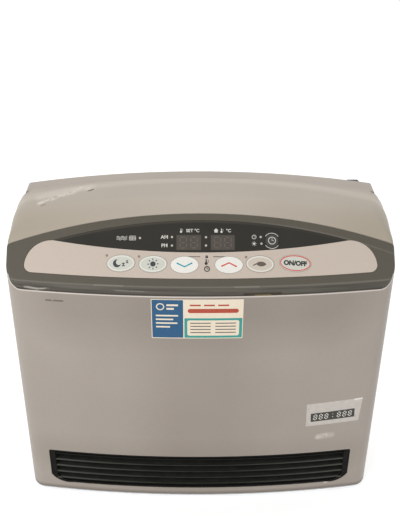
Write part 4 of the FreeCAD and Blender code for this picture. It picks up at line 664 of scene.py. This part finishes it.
def lock_sign(x, y, r):
    shackle = arc_points(x, y + 0.3 * r, 0.6 * r, 0, 180)
    return [(oblong, x - r, y - r, x + r, y + 0.3 * r), (stroke, shackle, 0.4 * r)]


def digit_marks(x, y, wide, tall, width, gap, lean=0.0):
    """The seven bars of one number place, short of its corners by gap and leaning to the right."""
    dx, dy = wide / 2, tall / 2
    level = [[(gap - dx, k), (dx - gap, k)] for k in (-dy, 0, dy)]
    upright = [[(side * dx, half * gap), (side * dx, half * (dy - gap))]
               for side in (-1, 1) for half in (-1, 1)]
    return [(stroke, [(x + px + lean * py, y + py) for px, py in bar], width) for bar in level + upright]


# Laying a flat drawing on the heater

def on_slope(u, v, lift):
    """A flat patch's placement on the arched control panel: across, up the slope and out of it."""
    radius = SLOPE_FOOT + v * math.sin(SLOPE) - ARCH_AXIS_Z
    turn = math.asin(u / radius)
    up = v + radius * (1 - math.cos(turn)) * math.sin(SLOPE)
    axis = Matrix.Translation((0, 0, ARCH_AXIS_Z))
    foot = Matrix.Translation((0, FRONT_Y, SLOPE_FOOT)) @ Matrix.Rotation(SLOPE, 4, "X")
    return axis @ Matrix.Rotation(turn, 4, "Y") @ axis.inverted() @ foot @ Matrix.Translation((0, up, lift))


def along_slope(skin=0.0):
    """Lay a drawing on the control panel, bent to its arch."""
    return lambda p: on_slope(p.x, p.y, p.z + skin).translation


def on_key(key):
    """Lay a drawing on the flat top of a key."""
    u, v = KEYS[key]
    top = on_slope(u * MM, v * MM, KEY_PROUD)
    return lambda p: top @ p


def on_front(x, z, tilt=0.0):
    """Lay a drawing on the bowed front panel, turned about its own middle."""
    spin = Matrix.Rotation(tilt, 3, "Z")

    def lay(p):
        flat = spin @ p
        across = x * MM + flat.x
        bow = BOW_RADIUS - math.sqrt(BOW_RADIUS ** 2 - across ** 2)
        return Vector((across, FRONT_Y + bow - flat.z, z * MM + flat.y))

    return lay


def new_piece(name, layers, lay, body):
    """Lay layers of marks on the heater as one piece, each with its finish and thickness in millimetres."""
    mesh = bpy.data.meshes.new(name)
    whole = bmesh.new()
    for index, (finish, top, marks) in enumerate(layers):
        flat = bmesh.new()
        for make, *sizes in marks:
            if make is not stroke:
                make(flat, *sizes)
        bmesh.ops.translate(flat, verts=flat.verts, vec=(0, 0, top))
        bmesh.ops.triangulate(flat, faces=flat.faces[:])
        bmesh.ops.solidify(flat, geom=flat.faces[:], thickness=top + SINK)
        for make, *sizes in marks:
            if make is stroke:
                make(flat, top, *sizes)
        for face in flat.faces:
            face.material_index = index
        layer_mesh = bpy.data.meshes.new(name)
        flat.to_mesh(layer_mesh)
        flat.free()
        whole.from_mesh(layer_mesh)
        bpy.data.meshes.remove(layer_mesh)
        mesh.materials.append(finish)
    reach = [v.co.x for v in whole.verts]
    for step in range(math.ceil(min(reach) / BEND_STEP), math.floor(max(reach) / BEND_STEP) + 1):
        everything = whole.verts[:] + whole.edges[:] + whole.faces[:]
        bmesh.ops.bisect_plane(whole, geom=everything, plane_co=(step * BEND_STEP, 0, 0), plane_no=(1, 0, 0))
    for vert in whole.verts:
        vert.co = lay(vert.co * MM)
    bmesh.ops.recalc_face_normals(whole, faces=whole.faces)
    whole.to_mesh(mesh)
    whole.free()
    piece = bpy.data.objects.new(name, mesh)
    bpy.context.scene.collection.objects.link(piece)
    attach(piece, body)


# Prints and lamps of the control panel

white_ink = printing_ink("white_screen_ink", "#CFCCC3", "#DEDBD2")
rim_ink = printing_ink("pale_rim_ink", "#DEDED5", "#E9E9E1")
charcoal_ink = printing_ink("charcoal_screen_ink", "#302F2D", "#3B3937")
slate_ink = printing_ink("slate_screen_ink", "#394042", "#454B4D")
umber_ink = printing_ink("umber_screen_ink", "#61574E", "#6C6259")
teal_ink = printing_ink("teal_screen_ink", "#2A98A4", "#35A5B0")
red_ink = printing_ink("red_screen_ink", "#D04B42", "#DC574D")
lamp_lens = moulded_abs("frosted_lamp_lens", "#B9AFA5", "#C6BCB2", (0.3, 0.4))
dull_lens = moulded_abs("smoked_lamp_lens", "#83786D", "#8F8479", (0.3, 0.4))
display_glass = moulded_abs("brown_display_glass", "#453D36", "#4B433B", (0.18, 0.26), 20 * MM)
unlit_bar = moulded_abs("unlit_display_bars", "#574E46", "#5E554C", (0.2, 0.3))


def window_print():
    """White signs, lamps and number displays seen on the smoked window."""
    signs = [(lettering, "AM", -43.7, 64.2, 6.0), (lettering, "PM", -43.7, 53.7, 6.0)]
    signs += net_sign(-82.0, 63.3, 7.5, 5.0, 0.55)
    for level in (61.6, 63.3, 65.0):
        signs.append((stroke, [(-101 + 0.8 * i, level + 0.7 * math.sin(0.9 * i)) for i in range(17)], 0.6))
    signs += thermometer_sign(-24.0, 72.0, 5.4, 1.0) + [(lettering, "SET °C", -10.0, 71.9, 5.4)]
    signs += house_sign(18.0, 72.0, 2.8) + thermometer_sign(24.5, 72.0, 5.4, 1.0)
    signs.append((lettering, "°C", 33.0, 71.9, 5.4))
    signs += clock_sign(63.5, 64.5, 2.7, 0.6) + sun_sign(63.5, 56.2, 2.9, 0.6)
    x, y = KEYS["time_set"]
    signs += [(stroke, arc_points(x, y, 9.4, start, start + 110), 0.8) for start in (35, 215)]
    lamps = [(-73.1, 63.2), (-34.8, 64.2), (-34.8, 53.7), (71.4, 64.5), (72.2, 56.3), (5.9, 63.9),
             (5.9, 53.7)]
    faces = [(-29.4, -0.1), (11.6, 40.1)]
    panes = [(oblong, left, 48.1, right, 66.6, 0.6) for left, right in faces]
    bars = []
    for left, right in faces:
        for part in (0.28, 0.72):
            bars += digit_marks(left + (right - left) * part, 57.4, wide=7.6, tall=13.0, width=1.7, gap=1.0)
    layers = [(white_ink, 0.12, signs), (lamp_lens, 0.2, [(disc, *spot, 1.35) for spot in lamps]),
              (display_glass, 0.1, panes), (unlit_bar, 0.14, bars)]
    new_piece("window_print", layers, along_slope(), "cabinet")


def fascia_print():
    """Lamps over three keys, the bracket over the arrow keys and the signs between them."""
    lamps = [(disc, -112.2, 42.1, 1.5), (disc, -73.9, 40.4, 1.5), (disc, 53.5, 39.7, 1.5)]
    signs = [(stroke, [(-20.8, 39.9), (-1.0, 39.9)], 0.8), (stroke, [(14.2, 39.9), (34.4, 39.9)], 0.8)]
    signs += lock_sign(6.7, 39.9, 1.6)
    signs += thermometer_sign(6.0, 33.4, 7.0, 1.4) + clock_sign(7.0, 25.0, 3.5, 1.1)
    layers = [(charcoal_ink, 0.12, signs), (dull_lens, 0.2, lamps)]
    new_piece("fascia_print", layers, along_slope(FASCIA_PROUD), "cabinet")


def key_print(key, layers):
    """One key's print, which moves with the key."""
    new_piece(key + "_key_print", layers, on_key(key), key + "_key")


def key_prints():
    """Rims and signs on the key tops."""
    rim = (ring, 0, 0, 15.9, 9.4, 1.3)
    down = [(-9.2, 2.1), (0, -2.4), (9.2, 2.1)]
    up = [(x, -y) for x, y in down]
    night = moon_sign(-4.6, 0, 4.8) + [(lettering, "z", 3.0, -1.2, 8.0), (lettering, "z", 7.6, 1.8, 6.4)]
    key_print("sleep", [(rim_ink, 0.1, [rim]), (slate_ink, 0.1, night)])
    key_print("morning", [(rim_ink, 0.1, [rim]), (slate_ink, 0.1, sun_sign(0, 0, 6.6, 1.2))])
    key_print("down", [(teal_ink, 0.12, [(stroke, down, 1.7)])])
    key_print("up", [(red_ink, 0.12, [(stroke, up, 1.7)])])
    key_print("save", [(rim_ink, 0.1, [rim]), (umber_ink, 0.1, leaf_sign(1.2, 0, 8.2))])
    power = [(red_ink, 0.12, [(ring, 0, 0, 18.3, 9.5, 1.1)]),
             (charcoal_ink, 0.1, [(lettering, "ON/OFF", 0, -0.3, 7.6, 0.055)])]
    key_print("power", power)
    key_print("time_set", [(white_ink, 0.1, clock_sign(0, 0, 4.6, 0.8))])


# Stickers on the front panel

def sticker():
    """A service sticker with blank lines: blue column, red band and teal-edged card."""
    cream = printing_ink("cream_vinyl", "#EADCC6", "#F1E3CD")
    blue = printing_ink("blue_vinyl_ink", "#2B567A", "#346187")
    teal = printing_ink("teal_vinyl_ink", "#3A958D", "#45A299")
    brick = printing_ink("brick_vinyl_ink", "#AE4A37", "#B95643")
    grey = printing_ink("grey_vinyl_ink", "#6B625A", "#776E66")
    base = [(oblong, -55.5, -28.7, 55.5, 28.7, 1.2)]
    column = [(oblong, -54.6, -27.6, -17.0, 27.8, 0.8)]
    card = [(oblong, -15.5, -27.6, 54.6, 1.5, 0.8)]
    paper = [(oblong, -12.0, -24.4, 51.0, -1.6, 2.6), (ring, -44.5, 18.0, 5.0, 5.0, 1.4)]
    paper += [(oblong, -50.0, z, right, z + 2.2, 0.4)
              for z, right in ((4.0, -23), (-1.5, -29), (-7.0, -24), (-12.5, -33))]
    paper += [(oblong, -37.0, z, right, z + 2.6, 0.4) for z, right in ((19.0, -23), (13.8, -28))]
    band = [(oblong, -11.5, 9.2, 50.0, 15.2, 3.0)]
    band += [(oblong, left, 19.2, left + 13.0, 21.4, 0.4) for left in (-9.0, 8.0, 25.0)]
    lines = [(oblong, left, z, left + wide, z + 1.5, 0.3) for left, wide in ((-8.5, 25.0), (22.0, 25.0))
             for z in (-6.6, -11.2, -15.8, -20.4)]
    layers = [(cream, 0.06, base), (blue, 0.09, column), (teal, 0.09, card), (cream, 0.12, paper),
              (brick, 0.12, band), (grey, 0.14, lines)]
    new_piece("service_sticker", layers, on_front(-4.5, 307.3), "cabinet")


def label_film():
    # Silver-grey polyester film: smooth, half matt, with a painted highlight on one corner as if it lifted
    # and caught the light.
    material, tree, skin, place = start_material("silver_grey_polyester_film", {"IOR": 1.6})
    colour = mottle(tree, place, 6 * MM, "#BFB8B0", "#C9C2BA")
    colour = worn_mark(tree, place, colour, (0.2035, -0.0722, 0.1690), (0.2130, -0.0707, 0.1700),
                       2.4, 9, "#EAE5DD", 0.25)
    finish_skin(tree, skin, place, colour, 0.6 * MM, 0.4, 0.5, 0.005 * MM)
    return material


def number_label():
    """A silvery label with a dark strip of number places, stuck on a little askew."""
    foil = label_film()
    dark = printing_ink("dark_label_ink", "#3C3A35", "#474540")
    pale = printing_ink("pale_label_ink", "#E4E1D7", "#EEEBE2")
    strip_middle = -4.6
    places = []
    for middle in (-23.8, -16.4, -9.0, 7.9, 15.3, 22.7):
        places += digit_marks(middle, strip_middle, wide=3.8, tall=8.4, width=1.5, gap=0.8, lean=0.12)
    places += [(disc, -0.4, strip_middle + z, 0.55) for z in (-2.4, 2.4)]
    film = [(-36.4, -18.8), (34.6, -19.4), (39.2, 19.4), (-35.2, 19.4)]
    strip = [(oblong, -29.9, strip_middle - 7.2, 28.9, strip_middle + 7.2, 0.4)]
    layers = [(foil, 0.08, [(outline, film)]), (dark, 0.11, strip), (pale, 0.25, places)]
    askew = on_front(175.5, 149.0, math.radians(3.3))
    new_piece("number_label", layers, askew, "cabinet")


window_print()
fascia_print()
key_prints()
sticker()
number_label()


# Fasteners and rear details

def rear_screws():
    """Pan-head screws with cross recesses, in the same places as the plain ones, drawn in millimetres."""
    head, shank = 3.6, 2.0     # radii
    high, deep = 1.8, 7.2      # head over its seat, shank below it
    arm = (4.0, 2.0, 0.8)      # one arm of the recess: long, tall and thick, sunk to half its height
    bm = bmesh.new()
    section = [(0, -deep), (shank, -deep), (shank, 0), (head, 0), (head, 0.8), (0.93 * head, 1.4),
               (0.72 * head, high), (0, high)]
    corners = [bm.verts.new((r, y, 0)) for r, y in section]
    edges = [bm.edges.new(pair) for pair in zip(corners, corners[1:])]
    bmesh.ops.spin(bm, geom=corners + edges, cent=(0, 0, 0), axis=(0, 1, 0), angle=math.tau, steps=24,
                   use_merge=True)
    bmesh.ops.remove_doubles(bm, verts=bm.verts, dist=0.0005)
    bmesh.ops.recalc_face_normals(bm, faces=bm.faces)
    blank = bpy.data.meshes.new("screw_blank")
    bm.to_mesh(blank)
    bm.free()
    cross = bmesh.new()
    for turn in (0, math.pi / 2):
        spot = Matrix.Rotation(turn, 4, "Y") @ Matrix.Translation((0, high, 0)) @ Matrix.Diagonal((*arm, 1))
        blade = bmesh.ops.create_cube(cross, size=1.0, matrix=spot)
        sunk = [v for v in blade["verts"] if v.co.y < high]
        bmesh.ops.scale(cross, verts=sunk, vec=(0.5, 1, 0.5))
    cutter_mesh = bpy.data.meshes.new("screw_recess")
    cross.to_mesh(cutter_mesh)
    cross.free()
    screw = bpy.data.objects.new("screw_blank", blank)
    cutter = bpy.data.objects.new("screw_recess", cutter_mesh)
    for helper in (screw, cutter):
        bpy.context.scene.collection.objects.link(helper)
    recess = screw.modifiers.new("recess", "BOOLEAN")
    recess.operation = "DIFFERENCE"
    recess.object = cutter
    recess.use_self = True
    bpy.context.view_layer.update()
    finished = bpy.data.meshes.new_from_object(screw.evaluated_get(bpy.context.evaluated_depsgraph_get()))
    least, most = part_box("rear_screws")
    seat = most.y - high * MM
    whole = bmesh.new()
    for x in (least.x + head * MM, most.x - head * MM):
        for z in SCREW_HEIGHTS:
            known = set(whole.verts)
            whole.from_mesh(finished)
            fresh = [v for v in whole.verts if v not in known]
            turned = Matrix.Rotation(0.4 + 7 * z, 4, "Y")      # each screw stops at an angle of its own
            driven = Matrix.Translation((x, seat, z)) @ Matrix.Scale(MM, 4) @ turned
            bmesh.ops.transform(whole, verts=fresh, matrix=driven)
    mesh = bpy.data.meshes.new("cross_recess_screws")
    whole.to_mesh(mesh)
    whole.free()
    for helper in (screw, cutter):
        bpy.data.objects.remove(helper)
    mesh.materials.append(nodes["rear_screws"].data.materials[0])
    piece = bpy.data.objects.new("cross_recess_screws", mesh)
    bpy.context.scene.collection.objects.link(piece)
    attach(piece, "cabinet")
    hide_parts("rear_screws")


rear_screws()


# Camera, lights and floor

FOCAL_PIXELS = 827.3       # focal length in pixels of a picture that is PICTURE_TALL pixels high
PICTURE_TALL = 530
CAMERA_PLACE = (-0.0107, FRONT_Y - 0.8158, 0.8866)
PITCH = math.radians(31.62)    # the camera looks down by this
PAN = -0.0112              # turns aside by this, in radians
ROLL = 0.0061              # and leans by this
HEATER_MIDDLE = (0, -0.05, 0.25)
WHITE = (1.0, 1.0, 1.0, 1.0)
FLOOR_GREY = (0.8, 0.8, 0.8, 1.0)
FLOOR_REACH = 6.0          # how far the floor goes to each side, in metres
SKY_LIGHT = 0.64           # at this strength colours render about as they are written
FLOOR_GLOW = 0.5           # brings the floor that is seen up to white

camera = bpy.data.objects.new("photo_camera", bpy.data.cameras.new("photo_camera"))
bpy.context.scene.collection.objects.link(camera)
camera.data.lens = FOCAL_PIXELS / PICTURE_TALL * camera.data.sensor_width
tilt = Matrix.Rotation(math.pi / 2 - PITCH, 4, "X")
aim = Matrix.Rotation(PAN, 4, "Z") @ tilt @ Matrix.Rotation(ROLL, 4, "Z")
camera.matrix_world = Matrix.Translation(CAMERA_PLACE) @ aim
bpy.context.scene.camera = camera


def soft_light(name, spot, target, size, power):
    """A large rectangular lamp turned to a target."""
    lamp = bpy.data.objects.new(name, bpy.data.lights.new(name, "AREA"))
    lamp.data.shape = "RECTANGLE"
    lamp.data.size, lamp.data.size_y = size
    lamp.data.energy = power
    lamp.location = spot
    lamp.rotation_euler = (Vector(target) - Vector(spot)).to_track_quat("-Z", "Y").to_euler()
    bpy.context.scene.collection.objects.link(lamp)


def seen_rays(tree):
    """A switch that is on for what the camera sees, also in a mirror or through glass."""
    ray = add_node(tree, "ShaderNodeLightPath")
    seen = ray.outputs["Is Camera Ray"]
    for kind in ("Is Glossy Ray", "Is Transmission Ray"):
        seen = add_node(tree, "ShaderNodeMath", {0: seen, 1: ray.outputs[kind]},
                        operation="MAXIMUM").outputs[0]
    return seen


soft_light("key_light", (-1.0, -1.2, 0.9), HEATER_MIDDLE, (1.4, 1.2), 10.5)
soft_light("fill_light", (1.3, -1.5, 0.9), HEATER_MIDDLE, (1.2, 1.2), 4.5)
soft_light("top_light", (0.1, 0.9, 1.8), (0, 0, 0.4), (1.6, 1.0), 4.5)

world = bpy.data.worlds.new("studio")
bpy.context.scene.world = world
world.use_nodes = True
sky = world.node_tree
sky.nodes.clear()
lit = add_node(sky, "ShaderNodeBackground", {"Color": WHITE, "Strength": SKY_LIGHT})
shown = add_node(sky, "ShaderNodeBackground", {"Color": WHITE, "Strength": 1.0})
both = add_node(sky, "ShaderNodeMixShader", {0: seen_rays(sky), 1: lit.outputs[0], 2: shown.outputs[0]})
add_node(sky, "ShaderNodeOutputWorld", {"Surface": both.outputs[0]})


def white_floor():
    """A plain white floor that keeps the heater's shadow."""
    bm = bmesh.new()
    bmesh.ops.create_grid(bm, x_segments=1, y_segments=1, size=FLOOR_REACH)
    mesh = bpy.data.meshes.new("floor")
    bm.to_mesh(mesh)
    bm.free()
    paint = bpy.data.materials.new("white_floor")
    paint.use_nodes = True
    tree = paint.node_tree
    tree.nodes.clear()
    matt = add_node(tree, "ShaderNodeBsdfDiffuse", {"Color": FLOOR_GREY})
    glow = add_node(tree, "ShaderNodeEmission", {"Color": WHITE, "Strength": FLOOR_GLOW})
    lifted = add_node(tree, "ShaderNodeAddShader", {0: matt.outputs[0], 1: glow.outputs[0]})
    surface = add_node(tree, "ShaderNodeMixShader", {0: seen_rays(tree), 1: matt.outputs[0],
                                                     2: lifted.outputs[0]})
    add_node(tree, "ShaderNodeOutputMaterial", {"Surface": surface.outputs[0]})
    mesh.materials.append(paint)
    floor = bpy.data.objects.new("floor", mesh)
    bpy.context.scene.collection.objects.link(floor)


white_floor()

bpy.context.scene.view_settings.view_transform = "Standard"
